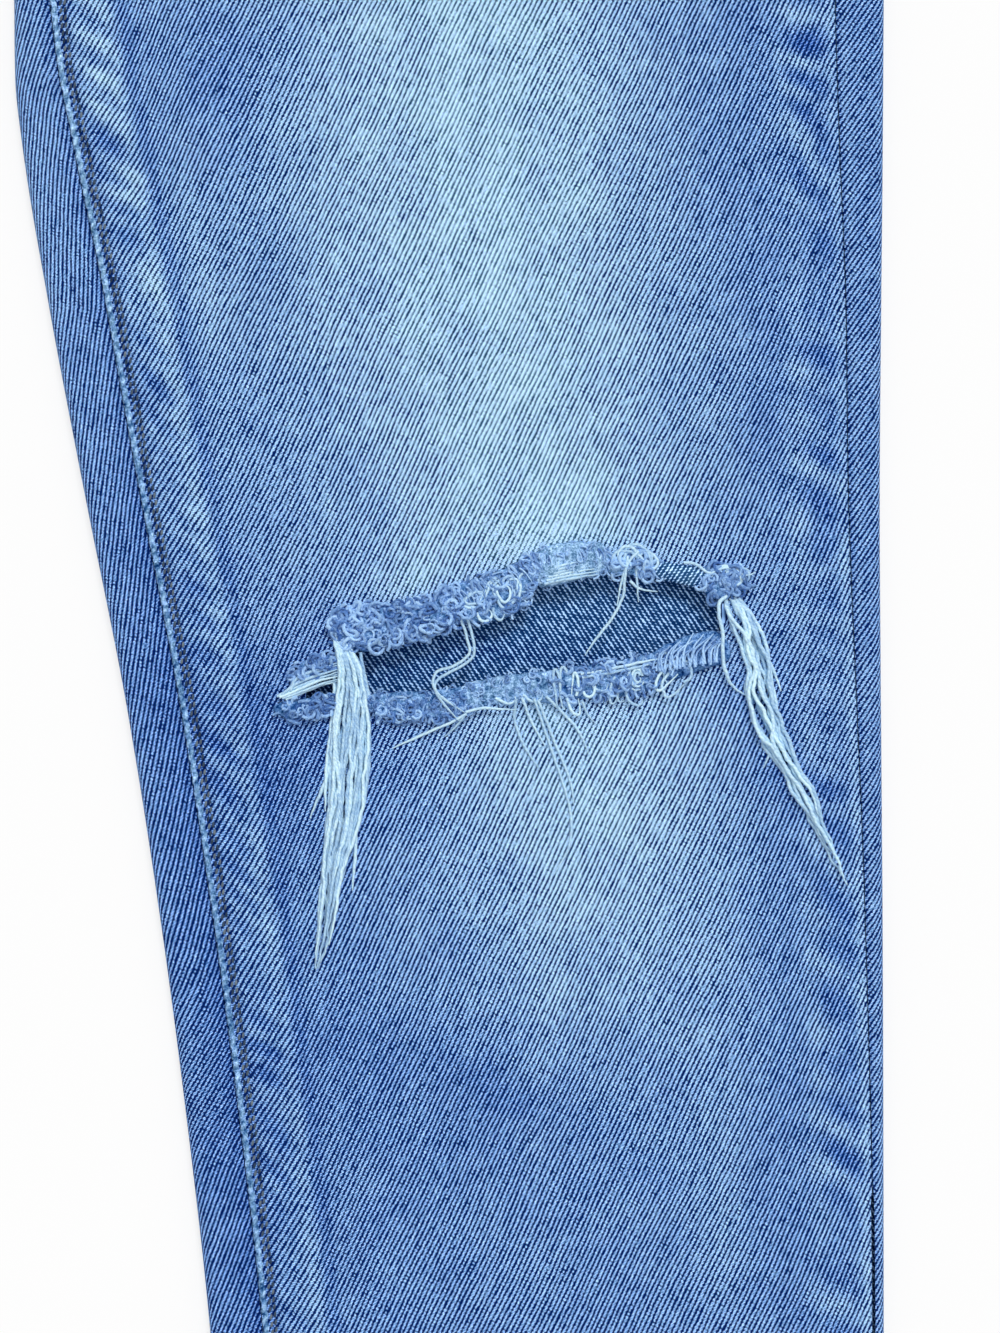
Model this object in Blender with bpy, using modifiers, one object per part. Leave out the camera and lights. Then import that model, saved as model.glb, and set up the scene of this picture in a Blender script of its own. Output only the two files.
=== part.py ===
"""A pair of ripped straight-leg jeans, laid flat on its back with the front up.

X runs across the garment, and the wearer's left leg is at +X. Y runs from the hems up to the
waist, and Z is up from the surface. The origin is on the surface, under the middle.
Tables and sizes are in millimetres, and MM turns them into metres.
"""

import math
from collections import namedtuple

import bmesh
import bpy

MM = 0.001

# Cloth
WALL = 1.1  # one layer of denim
HEM_WALL = 2.2  # the hem, turned in
GAP = 0.3  # between pieces that are sewn or that touch
ROUND_GAP = 0.9  # at a seam that lies on a fold, where the two walls' edges lean together
FOLD_REACH = 3.0  # how far in from its edge a folded side is round
FOLD_STEPS = 4
SEAM_STEP = 0.6  # the first facet beside a seam
QUARTER = FOLD_REACH * math.pi / 2  # along the cloth from the edge line to the end of the round

# Garment
HEM = -505.0
CROTCH = 214.0
YOKE_SEAM = 422.0  # at the sides
WAIST = 457.0  # waist seam at the sides
WAIST_HALF = 178.0
WAIST_CURVE = 10.0  # how far the waist seam's middle is below its sides in front, and above behind
SEAT_TOP = 7.0  # front of the seat and hips, above the surface

# Half outlines: each leg's folded edges, and above the crotch the centre seam and the hip
Outline = namedtuple("Outline", "y inner outer")
OUTLINE = [
    Outline(HEM, 68.5, 223.7),
    Outline(-400, 62.5, 223.7),
    Outline(-298, 54.8, 223.7),
    Outline(-240, 48.3, 223.6),
    Outline(-190, 41.6, 223.4),
    Outline(-140, 33.6, 223.0),
    Outline(-90, 23.7, 222.7),
    Outline(-40, 14.2, 223.1),
    Outline(0, 7.6, 223.5),
    Outline(17, 5.9, 223.6),
    Outline(35, 5.7, 223.7),
    Outline(90, 4.6, 225.0),
    Outline(140, 3.8, 228.5),
    Outline(185, 3.0, 232.5),
    Outline(205, 1.6, 234.5),
    Outline(CROTCH, GAP / 2, 235.2),
    Outline(262, GAP / 2, 238.5),
    Outline(300, GAP / 2, 238.5),
    Outline(345, GAP / 2, 233.5),
    Outline(385, GAP / 2, 220.0),
    Outline(YOKE_SEAM, GAP / 2, 200.0),
    Outline(440, GAP / 2, 190.3),
    Outline(WAIST, GAP / 2, WAIST_HALF),
]

# How far in from the folded edges the inseam and the side seam lie on the front
Seams = namedtuple("Seams", "y inseam side")
SEAMS = [
    Seams(HEM, 13.4, 2.7),
    Seams(-298, 13.4, 2.7),
    Seams(-190, 13.4, 4.7),
    Seams(-90, 14.0, 8.0),
    Seams(-40, 14.5, 9.1),
    Seams(0, 12.9, 11.1),
    Seams(35, 9.2, 12.3),
    Seams(90, 6.4, 12.8),
    Seams(140, 4.0, 13.0),
    Seams(185, 1.7, 13.0),
    Seams(CROTCH, 0.0, 13.0),
    Seams(WAIST, 0.0, 13.0),
]

# Heights of the under and upper faces. The seat lies on its pockets, and the hems are thick.
Levels = namedtuple("Levels", "y under top")
LEVELS = [
    Levels(HEM, 0.0, 6.0),
    Levels(-494, 0.0, 6.0),
    Levels(-484, 0.0, 5.0),
    Levels(165, 0.0, 5.0),
    Levels(222, 1.5, SEAT_TOP),
    Levels(WAIST, 1.5, SEAT_TOP),
]

# Share of the inner fold that is left: above the crotch the two halves are joined flat
Fold = namedtuple("Fold", "y folded")
INNER_FOLD = [Fold(CROTCH, 1.0), Fold(240, 0.0)]

# Share of the seam allowances' height that is left beside the inseam and beside the side seam
Ridge = namedtuple("Ridge", "y inseam side")
RIDGES = [
    Ridge(150, 1.0, 1.0),
    Ridge(200, 0.0, 1.0),
    Ridge(345, 0.0, 1.0),
    Ridge(385, 0.0, 0.0),
]

# How far a row's middle lies above its sides: straight lines to a point, or one even curve
Dip = namedtuple("Dip", "y vee curve")
FRONT_DIP = [Dip(300, 0.0, 0.0), Dip(WAIST, 0.0, -WAIST_CURVE)]
BACK_DIP = [Dip(300, 0.0, 0.0), Dip(YOKE_SEAM, -27.0, 0.0), Dip(WAIST, 0.0, WAIST_CURVE)]

# Cloth over the seam allowances, by distance in from the seam
Allowance = namedtuple("Allowance", "inset height")
INSEAM_RIDGE = [
    Allowance(0.0, 0.3),
    Allowance(0.6, 0.5),
    Allowance(3.0, 0.6),
    Allowance(14.0, 0.5),
    Allowance(16.5, 0.0),
]
SIDE_RIDGE = [
    Allowance(0.0, 0.1),
    Allowance(0.6, 0.3),
    Allowance(3.0, 0.5),
    Allowance(11.0, 0.4),
    Allowance(13.0, 0.0),
]
MIDDLE_STEPS = 5

# Rows of points up the cloth
LEG_ROWS = [HEM, -494, -493, -400, -298, -240, -190, -140, -90, -40, 0, 17, 35, 90, 140, 165]
LEG_ROWS += [185, 205, CROTCH]
HIP_ROWS = [222, 240, 262, 300, 345, 385]
YOKE_MIDDLE = 440
FRONT_ROWS = LEG_ROWS + HIP_ROWS + [YOKE_SEAM, YOKE_MIDDLE, WAIST - GAP]
BACK_ROWS = LEG_ROWS + HIP_ROWS + [YOKE_SEAM - GAP]
YOKE_ROWS = [YOKE_SEAM + GAP / 2, YOKE_MIDDLE, WAIST - GAP]

# How far cutters reach past the front's upper face
CUT_UNDER = 2.6
CUT_OVER = 2.0

# Waistband
BAND_HEIGHT = 38.0
BAND_WALL = 2.2
BAND_UNDER = 1.5
BAND_TOP = 7.2
LAP_TOP = BAND_TOP + BAND_WALL + GAP
LAP_TIP = -14.0  # the left end, which lies over the right one
LAP_FOOT = 34.0  # where the left end starts to rise
LAP_HEAD = 12.5  # where it has risen
TUCKED_END = 10.0  # the right end
BAND_STATIONS = (30, 66, 102, 138)  # distances from the middle where the band's edge is followed

# Front pockets: each mouth is a quarter of an ellipse round the corner of the hip
MOUTH_X = 212.0
MOUTH_Y = 462.0
MOUTH_REACH = 106.0
MOUTH_DROP = 68.0
MOUTH_STEPS = 12
MOUTH_PAST = 30.0  # how far its cutter goes past the corner of the hip
FACING_LAP = 8.0  # how far the facing goes in under the front
FACING_WALL = 1.0
FACING_STEPS = 10
FACING_SIDE = (396, 410, 422, 432, 442, 455)  # heights where it follows the side seam
FACING_WAIST = (140, 115)  # distances from the middle where it follows the waist seam

# Fly
FLY_EDGE = -5.0
FLY_WIDTH = 32.0
FLY_FOOT = 318.0
FLY_TURN = 34.0  # height of its curved foot
FLY_STEPS = 6
FLY_WALL = 1.2

# Waist button
BUTTON_X = 1.0
BUTTON_Y = 466.0
BUTTON_RADIUS = 8.5
SHANK_RADIUS = 2.5
BUTTONHOLE = 12.0
BUTTONHOLE_STEPS = 6
BUTTON_STEPS = 24

# The cap's face from its middle out, by height over the cap's underside
Turned = namedtuple("Turned", "radius height")
BUTTON_CAP = [
    Turned(0.0, 2.6),
    Turned(3.0, 2.4),
    Turned(5.6, 1.7),
    Turned(6.4, 2.2),
    Turned(7.6, 2.2),
    Turned(BUTTON_RADIUS, 1.2),
    Turned(7.8, 0.0),
    Turned(SHANK_RADIUS, 0.0),
]

# Belt loops
LOOP_WIDTH = 10.0
LOOP_WALL = 1.2
LOOP_EDGE = 0.3  # width of its rounded edges
LOOP_LAP = 5.0  # past the band at its lower edge
LOOP_SIDE = 88.0
LOOP_BACK = 126.0

# Back pockets
POCKET_X = 95.0
POCKET_TOP = 388.0
POCKET_HALF_TOP = 69.0
POCKET_HALF_FOOT = 60.0
POCKET_CORNER = 262.0
POCKET_TIP = 240.0
POCKET_WALL = 1.2

# The rip across the left knee: its upper and lower edges from the inner end to the outer end
Rip = namedtuple("Rip", "x lower upper")
RIP = [
    Rip(75.5, -137.5, -136.5),
    Rip(80.0, -139.5, -134.0),
    Rip(88.0, -139.5, -128.0),
    Rip(101.0, -138.0, -124.3),
    Rip(117.8, -137.0, -119.8),
    Rip(128.8, -134.8, -118.8),
    Rip(135.5, -134.4, -112.3),
    Rip(142.5, -133.2, -109.8),
    Rip(152.5, -131.6, -108.2),
    Rip(168.3, -128.5, -109.3),
    Rip(176.0, -125.5, -111.0),
    Rip(182.5, -122.5, -113.8),
    Rip(185.0, -119.5, -117.0),
]

# Reach of the fringe. Frays are listed along the rip, and hanging bundles down from their roots.
FRAY_TOP = [
    Rip(94.5, -127.0, -117.0),
    Rip(101.0, -124.8, -116.0),
    Rip(112.0, -122.5, -114.3),
    Rip(125.0, -119.6, -108.8),
    Rip(136.8, -112.5, -102.3),
    Rip(146.3, -109.6, -100.8),
    Rip(154.3, -108.4, -101.3),
    Rip(169.0, -110.0, -105.8),
    Rip(179.0, -112.8, -106.6),
]
FRAY_BOTTOM = [
    Rip(96.5, -145.3, -137.8),
    Rip(108.3, -145.8, -137.6),
    Rip(120.0, -143.3, -136.4),
    Rip(131.0, -141.5, -134.4),
    Rip(142.5, -144.0, -133.0),
    Rip(155.0, -139.8, -131.0),
    Rip(166.3, -137.5, -128.7),
    Rip(176.8, -137.3, -124.6),
]
Hang = namedtuple("Hang", "y left right")
THREADS_INNER = [
    Hang(-121.3, 85.8, 90.5),
    Hang(-130.0, 82.0, 93.5),
    Hang(-137.5, 73.5, 95.5),
    Hang(-143.8, 75.5, 95.8),
    Hang(-148.8, 84.5, 95.3),
    Hang(-163.8, 82.5, 93.8),
    Hang(-173.3, 80.5, 91.5),
    Hang(-183.0, 82.0, 88.3),
    Hang(-195.0, 79.5, 86.5),
    Hang(-207.3, 80.3, 82.5),
]
THREADS_OUTER = [
    Hang(-113.0, 180.5, 190.5),
    Hang(-118.0, 181.0, 190.5),
    Hang(-126.3, 182.0, 193.5),
    Hang(-133.0, 184.0, 198.5),
    Hang(-140.0, 188.0, 196.5),
    Hang(-148.8, 190.5, 198.5),
    Hang(-156.3, 191.5, 202.5),
    Hang(-165.0, 196.3, 205.5),
    Hang(-175.0, 203.8, 212.0),
    Hang(-186.0, 213.0, 215.0),
]
FRINGE_WALL = 1.2
FRINGE_SLOPE = 6.0  # how far beside the side seam's allowance the fringe takes to rise over it

Look = namedtuple("Look", "colour roughness metallic")
FADED_DENIM = Look((0.23, 0.38, 0.62), 0.9, 0.0)
MID_DENIM = Look((0.13, 0.22, 0.42), 0.9, 0.0)
BLUE_FRAY = Look((0.30, 0.45, 0.68), 0.95, 0.0)
WHITE_YARN = Look((0.70, 0.78, 0.86), 0.95, 0.0)
AGED_METAL = Look((0.36, 0.30, 0.24), 0.45, 1.0)


def at(table, y, column):
    """A column of a table at height y, straight between its rows."""
    low = table[0]
    high = table[1]
    for low, high in zip(table, table[1:]):
        if y <= high.y:
            break
    part = min(max((y - low.y) / (high.y - low.y), 0.0), 1.0)
    return (1 - part) * getattr(low, column) + part * getattr(high, column)


class Section:
    """The tube of one leg, or one half of the seat, cut across at height y."""

    def __init__(self, y):
        self.y = y
        self.inner = at(OUTLINE, y, "inner")
        self.outer = at(OUTLINE, y, "outer")
        self.under = at(LEVELS, y, "under")
        self.top = at(LEVELS, y, "top")
        self.inseam = self.seam(at(SEAMS, y, "inseam"))
        self.side = self.seam(at(SEAMS, y, "side"))

    @staticmethod
    def seam(distance):
        """A seam's place along the cloth from the folded edge, from its distance seen from above."""
        if distance >= FOLD_REACH:
            return QUARTER + distance - FOLD_REACH
        return FOLD_REACH * math.acos(1 - distance / FOLD_REACH)

    @staticmethod
    def half_gap(seam):
        return (GAP if seam > QUARTER else ROUND_GAP) / 2

    def point(self, edge, along):
        """X and Z at a distance along the cloth from an edge: up over the front, or under if negative."""
        half = (self.top - self.under) / 2
        if edge == "inner":
            half *= at(INNER_FOLD, self.y, "folded")
        turned = min(abs(along) / FOLD_REACH, math.pi / 2)
        reach = FOLD_REACH * (1 - math.cos(turned)) + max(abs(along) - QUARTER, 0.0)
        hollow = half * (1 - math.sin(turned))
        x = self.inner + reach if edge == "inner" else self.outer - reach
        z = self.top - hollow if along > 0 else self.under + hollow
        return x, z

    def row(self, points, dips):
        """Points across the section, with Y moved up or down towards the middle."""
        vee = at(dips, self.y, "vee")
        curve = at(dips, self.y, "curve")
        moved = []
        side = self.point("outer", self.side)[0]
        for x, z in points:
            out = min(x / side, 1.0)
            moved.append((x, self.y + vee * (1 - out) + curve * (1 - out * out), z))
        return moved


def front_row(y):
    """The front panel's upper face from inseam to side seam, over both seam allowances."""
    section = Section(y)
    inseam_share = at(RIDGES, y, "inseam")
    side_share = at(RIDGES, y, "side")
    inseam = section.inseam + section.half_gap(section.inseam)
    side = section.side + section.half_gap(section.side)
    inner = []
    for step in INSEAM_RIDGE:
        x, z = section.point("inner", inseam + step.inset)
        inner.append((x, z + step.height * inseam_share))
    outer = []
    for step in SIDE_RIDGE:
        x, z = section.point("outer", side + step.inset)
        outer.append((x, z + step.height * side_share))
    start = inner[-1][0]
    end = outer[-1][0]
    middle = []
    for step in range(1, MIDDLE_STEPS):
        middle.append((start + (end - start) * step / MIDDLE_STEPS, section.top))
    return section.row(inner + middle + outer[::-1], FRONT_DIP)


def round_fold(section, edge, seam):
    """From a seam on the front, round the folded edge, to where the under face is flat."""
    points = []
    start = seam - section.half_gap(seam)
    if start > QUARTER:
        points.append(section.point(edge, start))
        start = min(QUARTER, start - SEAM_STEP)
    else:
        points.append(section.point(edge, start))
        start -= SEAM_STEP
    for step in range(FOLD_STEPS + 1):
        along = start + (-QUARTER - start) * step / FOLD_STEPS
        points.append(section.point(edge, along))
    return points


def back_row(y):
    """The back panel from the inseam round under the leg and up to the side seam."""
    section = Section(y)
    inner = round_fold(section, "inner", section.inseam)
    outer = round_fold(section, "outer", section.side)
    start = inner[-1][0]
    end = outer[-1][0]
    middle = []
    for step in range(1, MIDDLE_STEPS):
        middle.append((start + (end - start) * step / MIDDLE_STEPS, section.under))
    return section.row(inner + middle + outer[::-1], BACK_DIP)


def yoke_row(y):
    """The yoke from the centre back, flat under the seat and up to the side seam."""
    section = Section(y)
    start = section.inner
    end = section.point("outer", section.side)[0]
    outer = round_fold(section, "outer", section.side)
    flat = []
    for step in range(MIDDLE_STEPS + 1):
        flat.append((start + (end - start) * step / MIDDLE_STEPS, section.under))
    return section.row(flat + outer[::-1], BACK_DIP)


def material(name, look):
    made = bpy.data.materials.new(name)
    made.use_nodes = True
    shader = made.node_tree.nodes["Principled BSDF"]
    shader.inputs["Base Color"].default_value = (*look.colour, 1.0)
    shader.inputs["Roughness"].default_value = look.roughness
    shader.inputs["Metallic"].default_value = look.metallic
    made.diffuse_color = (*look.colour, 1.0)
    return made


def add(name, data, look):
    """Puts a mesh or a curve in the garment's collection as one named piece."""
    data.materials.append(material(name, look))
    piece = bpy.data.objects.new(name, data)
    JEANS.objects.link(piece)
    return piece


def loft(name, rows, look, wall, flip=False, side=1, thick_rows=0):
    """A wall of cloth inside the face through rows of points. The first rows can be of hem wall."""
    mesh = bpy.data.meshes.new(name)
    shape = bmesh.new()
    grid = []
    for row in rows:
        grid.append([shape.verts.new((side * x * MM, y * MM, z * MM)) for x, y, z in row])
    for low, high in zip(grid, grid[1:]):
        for i in range(len(low) - 1):
            corners = [low[i], low[i + 1], high[i + 1]]
            if flip != (side < 0):
                corners.reverse()
            shape.faces.new([high[i], *corners])
    shape.verts.index_update()
    thick = [vert.index for row in grid[:thick_rows] for vert in row]
    shape.to_mesh(mesh)
    shape.free()
    piece = add(name, mesh, look)
    wall_maker = piece.modifiers.new("wall", "SOLIDIFY")
    wall_maker.thickness = wall * MM
    wall_maker.offset = -1
    wall_maker.use_even_offset = True
    if thick_rows:
        group = piece.vertex_groups.new(name="hem")
        group.add(thick, 1.0, "REPLACE")
        wall_maker.thickness = HEM_WALL * MM
        wall_maker.vertex_group = "hem"
        wall_maker.thickness_vertex_group = wall / HEM_WALL
    return piece


def flat_outline(name, outline, low, high):
    """A 2D curve round an outline, as thick as from low to high."""
    curve = bpy.data.curves.new(name, "CURVE")
    curve.dimensions = "2D"
    curve.fill_mode = "BOTH"
    curve.extrude = (high - low) / 2 * MM
    line = curve.splines.new("POLY")
    line.points.add(len(outline) - 1)
    for point, (x, y) in zip(line.points, outline):
        point.co = (x * MM, y * MM, 0.0, 1.0)
    line.use_cyclic_u = True
    return curve


def plate(name, outline, low, high, look):
    piece = add(name, flat_outline(name, outline, low, high), look)
    piece.location.z = (low + high) / 2 * MM
    return piece


def cutter(name, mesh, height):
    tool = bpy.data.objects.new(name, mesh)
    tool.location.z = height * MM
    tool.display_type = "WIRE"
    tool.hide_render = True
    CUTTERS.objects.link(tool)
    return tool


def outline_cutter(name, outline, low, high):
    """A closed mesh from a flat outline, with its caps welded on."""
    guide = bpy.data.objects.new(name, flat_outline(name, outline, low, high))
    CUTTERS.objects.link(guide)
    graph = bpy.context.evaluated_depsgraph_get()
    mesh = bpy.data.meshes.new_from_object(guide.evaluated_get(graph))
    shape = bmesh.new()
    shape.from_mesh(mesh)
    bmesh.ops.remove_doubles(shape, verts=shape.verts, dist=0.00001)
    shape.to_mesh(mesh)
    shape.free()
    bpy.data.objects.remove(guide)
    return cutter(name, mesh, (low + high) / 2)


def cut(piece, tool):
    hole = piece.modifiers.new(tool.name, "BOOLEAN")
    hole.operation = "DIFFERENCE"
    hole.object = tool


def ellipse(half_x, half_y, steps):
    """A quarter of an ellipse round a pocket mouth's corner, from its foot to the waist."""
    points = []
    for step in range(steps + 1):
        angle = math.pi / 2 * step / steps
        points.append((MOUTH_X - half_x * math.sin(angle), MOUTH_Y - half_y * math.cos(angle)))
    return points


def waist_seam(x, middle=-WAIST_CURVE):
    """Y of the waist seam at x: the front's middle dips, and the back's rises."""
    side = WAIST_HALF - SEAMS[-1].side
    return WAIST + middle * (1 - min(abs(x) / side, 1.0) ** 2)


def front_panel(name, side):
    rows = [front_row(y) for y in FRONT_ROWS]
    panel = loft(name, rows, FADED_DENIM, WALL, side=side, thick_rows=2)
    mouth = ellipse(MOUTH_REACH, MOUTH_DROP, MOUTH_STEPS)
    mouth.append((MOUTH_X - MOUTH_REACH, MOUTH_Y + MOUTH_PAST))
    mouth.append((MOUTH_X + MOUTH_PAST, MOUTH_Y + MOUTH_PAST))
    mouth.append((MOUTH_X + MOUTH_PAST, MOUTH_Y - MOUTH_DROP))
    outline = [(side * x, y) for x, y in mouth]
    low = SEAT_TOP - CUT_UNDER
    cut(panel, outline_cutter(name + "_pocket_mouth", outline, low, SEAT_TOP + CUT_OVER))
    return panel


def pocket_facing(name, side):
    """Fills a pocket mouth from under the front panel to the side seam and the waist."""
    inner = []
    for x, y in ellipse(MOUTH_REACH + FACING_LAP, MOUTH_DROP + FACING_LAP, FACING_STEPS):
        section = Section(y)
        if x < section.point("outer", section.side)[0] - GAP and y < waist_seam(x) - 2 * GAP:
            inner.append((x, y))
    seam_line = []
    for y in FACING_SIDE:
        section = Section(y)
        seam_line.append((section.point("outer", section.side)[0] - 2 * GAP, y))
    waist = []
    for x in FACING_WAIST:
        waist.append((x, waist_seam(x) - 2 * GAP))
    last = inner[-1][0]
    waist.append((last, waist_seam(last) - 2 * GAP))
    outline = [(side * x, y) for x, y in inner + waist[::-1] + seam_line[::-1]]
    top = SEAT_TOP - WALL - GAP
    return plate(name, outline, top - FACING_WALL, top, MID_DENIM)


def back_panel(name, side):
    rows = [back_row(y) for y in BACK_ROWS]
    return loft(name, rows, MID_DENIM, WALL, flip=True, side=side, thick_rows=2)


def yoke(name, side):
    return loft(name, [yoke_row(y) for y in YOKE_ROWS], MID_DENIM, WALL, flip=True, side=side)


def band_path():
    """The waistband's outer face seen end on, with each point's lower edge, from its right end."""
    half = (BAND_TOP - BAND_UNDER) / 2
    middle = (BAND_TOP + BAND_UNDER) / 2
    flat = WAIST_HALF - half
    stations = (*BAND_STATIONS, WAIST_HALF - SEAMS[-1].side)
    path = [(TUCKED_END, BAND_TOP, waist_seam(0))]
    path += [(-x, BAND_TOP, waist_seam(x)) for x in stations]
    for step in range(FOLD_STEPS + 1):
        angle = math.pi / 2 + math.pi * step / FOLD_STEPS
        path.append((-flat + half * math.cos(angle), middle + half * math.sin(angle), WAIST))
    for x in [-x for x in reversed(stations)] + [0, *stations]:
        path.append((x, BAND_UNDER, waist_seam(x, WAIST_CURVE)))
    for step in range(FOLD_STEPS + 1):
        angle = -math.pi / 2 + math.pi * step / FOLD_STEPS
        path.append((flat + half * math.cos(angle), middle + half * math.sin(angle), WAIST))
    for x in [*reversed(stations[1:]), LAP_FOOT]:
        path.append((x, BAND_TOP, waist_seam(x)))
    path.append((LAP_HEAD, LAP_TOP, waist_seam(LAP_HEAD)))
    path.append((LAP_TIP, LAP_TOP, waist_seam(LAP_TIP)))
    return path


def waistband(name):
    path = band_path()
    rows = []
    for height in (GAP, BAND_HEIGHT):
        rows.append([(x, y + height, z) for x, z, y in path])
    band = loft(name, rows, MID_DENIM, BAND_WALL, flip=True)
    slot = []
    for end in (1, -1):
        for step in range(BUTTONHOLE_STEPS + 1):
            angle = -math.pi / 2 + math.pi * step / BUTTONHOLE_STEPS
            reach = SHANK_RADIUS + GAP
            x = BUTTON_X + end * (BUTTONHOLE / 2 - reach + reach * math.cos(angle))
            slot.append((x, BUTTON_Y + end * reach * math.sin(angle)))
    cut(band, outline_cutter("buttonhole", slot, BAND_TOP + GAP / 2, LAP_TOP + CUT_OVER))
    return band


def waist_button(name):
    """A tack button: a shank through the buttonhole and a domed cap with a rolled rim."""
    foot = BAND_TOP + GAP
    cap = LAP_TOP + GAP
    profile = [(spot.radius, cap + spot.height) for spot in BUTTON_CAP]
    profile += [(SHANK_RADIUS, foot), (0.0, foot)]
    mesh = bpy.data.meshes.new(name)
    shape = bmesh.new()
    verts = [shape.verts.new((r * MM, 0.0, z * MM)) for r, z in profile]
    for low, high in zip(verts, verts[1:]):
        shape.edges.new((low, high))
    shape.to_mesh(mesh)
    shape.free()
    button = add(name, mesh, AGED_METAL)
    button.location = (BUTTON_X * MM, BUTTON_Y * MM, 0.0)
    turn = button.modifiers.new("turned", "SCREW")
    turn.steps = BUTTON_STEPS
    turn.render_steps = BUTTON_STEPS
    turn.use_merge_vertices = True
    turn.merge_threshold = 0.0001
    return button


def belt_loop(name, x, y, low):
    """A flat strip across the band, from just over its lower seam to its upper edge."""
    mesh = bpy.data.meshes.new(name)
    shape = bmesh.new()
    bmesh.ops.create_cube(shape, size=1.0)
    length = BAND_HEIGHT + LOOP_LAP
    bmesh.ops.scale(shape, vec=(LOOP_WIDTH * MM, length * MM, LOOP_WALL * MM), verts=shape.verts)
    shape.to_mesh(mesh)
    shape.free()
    loop = add(name, mesh, MID_DENIM)
    loop.location = (x * MM, (y - LOOP_LAP + length / 2) * MM, (low + LOOP_WALL / 2) * MM)
    rounding = loop.modifiers.new("edges", "BEVEL")
    rounding.width = LOOP_EDGE * MM
    rounding.segments = 1
    return loop


def fly(name):
    """The doubled placket: a straight free edge and a foot that curves in to the centre seam."""
    outline = [(FLY_EDGE, waist_seam(0) - GAP)]
    outline.append((FLY_EDGE, FLY_FOOT + FLY_TURN * 0.5))
    outline.append((0.0, FLY_FOOT))
    for step in range(1, FLY_STEPS + 1):
        angle = math.pi / 2 * step / FLY_STEPS
        x = FLY_WIDTH * math.sin(angle)
        outline.append((x, FLY_FOOT + FLY_TURN * (1 - math.cos(angle))))
    outline.append((FLY_WIDTH, waist_seam(FLY_WIDTH) - 2 * GAP))
    return plate(name, outline, SEAT_TOP + GAP, SEAT_TOP + GAP + FLY_WALL, FADED_DENIM)


def back_pocket(name, side):
    outline = [
        (POCKET_X - POCKET_HALF_TOP, POCKET_TOP),
        (POCKET_X - POCKET_HALF_FOOT, POCKET_CORNER),
        (POCKET_X, POCKET_TIP),
        (POCKET_X + POCKET_HALF_FOOT, POCKET_CORNER),
        (POCKET_X + POCKET_HALF_TOP, POCKET_TOP),
    ]
    outline = [(side * x, y) for x, y in outline]
    return plate(name, outline, 0.0, POCKET_WALL, MID_DENIM)


def knee_top(x, y):
    """Height of the left front panel's upper face, over the side seam's allowance too."""
    section = Section(y)
    seam = section.point("outer", section.side)[0]
    foot = SIDE_RIDGE[-1].inset + GAP
    rise = max(step.height for step in SIDE_RIDGE)
    near = min(max((foot + FRINGE_SLOPE - (seam - x)) / FRINGE_SLOPE, 0.0), 1.0)
    return section.top + rise * near


def fray(name, table):
    """Plain reach of a frayed edge, lying just over the panel along the rip."""
    rows = []
    for share in (1.0, 0.5, 0.0):
        row = []
        for spot in table:
            y = spot.lower + share * (spot.upper - spot.lower)
            row.append((spot.x, y, knee_top(spot.x, y) + GAP + FRINGE_WALL))
        rows.append(row)
    return loft(name, rows, BLUE_FRAY, FRINGE_WALL, flip=True)


def threads(name, table):
    """Plain reach of a bundle of loose yarns that hangs down over the panel."""
    rows = []
    for spot in table:
        row = []
        for share in (0.0, 0.5, 1.0):
            x = spot.left + share * (spot.right - spot.left)
            row.append((x, spot.y, knee_top(x, spot.y) + GAP + FRINGE_WALL))
        rows.append(row)
    return loft(name, rows, WHITE_YARN, FRINGE_WALL, flip=True)


for old in list(bpy.data.objects):
    bpy.data.objects.remove(old)

JEANS = bpy.data.collections.new("ripped_jeans")
CUTTERS = bpy.data.collections.new("cutters")
bpy.context.scene.collection.children.link(JEANS)
bpy.context.scene.collection.children.link(CUTTERS)

for word, sign in (("left", 1), ("right", -1)):
    front = front_panel("front_" + word, sign)
    if sign > 0:
        hole = [(spot.x, spot.lower) for spot in RIP]
        hole += [(spot.x, spot.upper) for spot in reversed(RIP)]
        top = at(LEVELS, RIP[0].lower, "top")
        cut(front, outline_cutter("knee_rip", hole, top - CUT_UNDER, top + CUT_OVER))
    back_panel("back_" + word, sign)
    yoke("yoke_" + word, sign)
    pocket_facing("pocket_facing_" + word, sign)
    back_pocket("back_pocket_" + word, sign)
    loop_y = waist_seam(LOOP_SIDE)
    belt_loop("belt_loop_front_" + word, sign * LOOP_SIDE, loop_y, BAND_TOP + GAP)
    loop_y = waist_seam(LOOP_BACK, WAIST_CURVE)
    belt_loop("belt_loop_back_" + word, sign * LOOP_BACK, loop_y, 0.0)

waistband("waistband")
belt_loop("belt_loop_centre", 0.0, WAIST + WAIST_CURVE, 0.0)
fly("fly")
waist_button("waist_button")
fray("fray_top", FRAY_TOP)
fray("fray_bottom", FRAY_BOTTOM)
threads("threads_inner", THREADS_INNER)
threads("threads_outer", THREADS_OUTER)
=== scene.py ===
# %% [markdown]
# # A pair of ripped jeans, laid flat
#
# The jeans lie on their back with the fly up and the left knee torn open. Each cut piece of cloth
# is a thin wall of denim whose outer face follows the sewing pattern. Over it come the creases,
# the wash, the weave and the stitches, and last the frayed yarns of the rip. X runs across the
# garment with the wearer's left leg at +X, Y runs up from the hems to the waist, and Z is up.

# %% The frame, and the box round a part
import math
from collections import namedtuple

import bmesh
import bpy
import numpy as np
from mathutils import Matrix, Vector, noise


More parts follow.
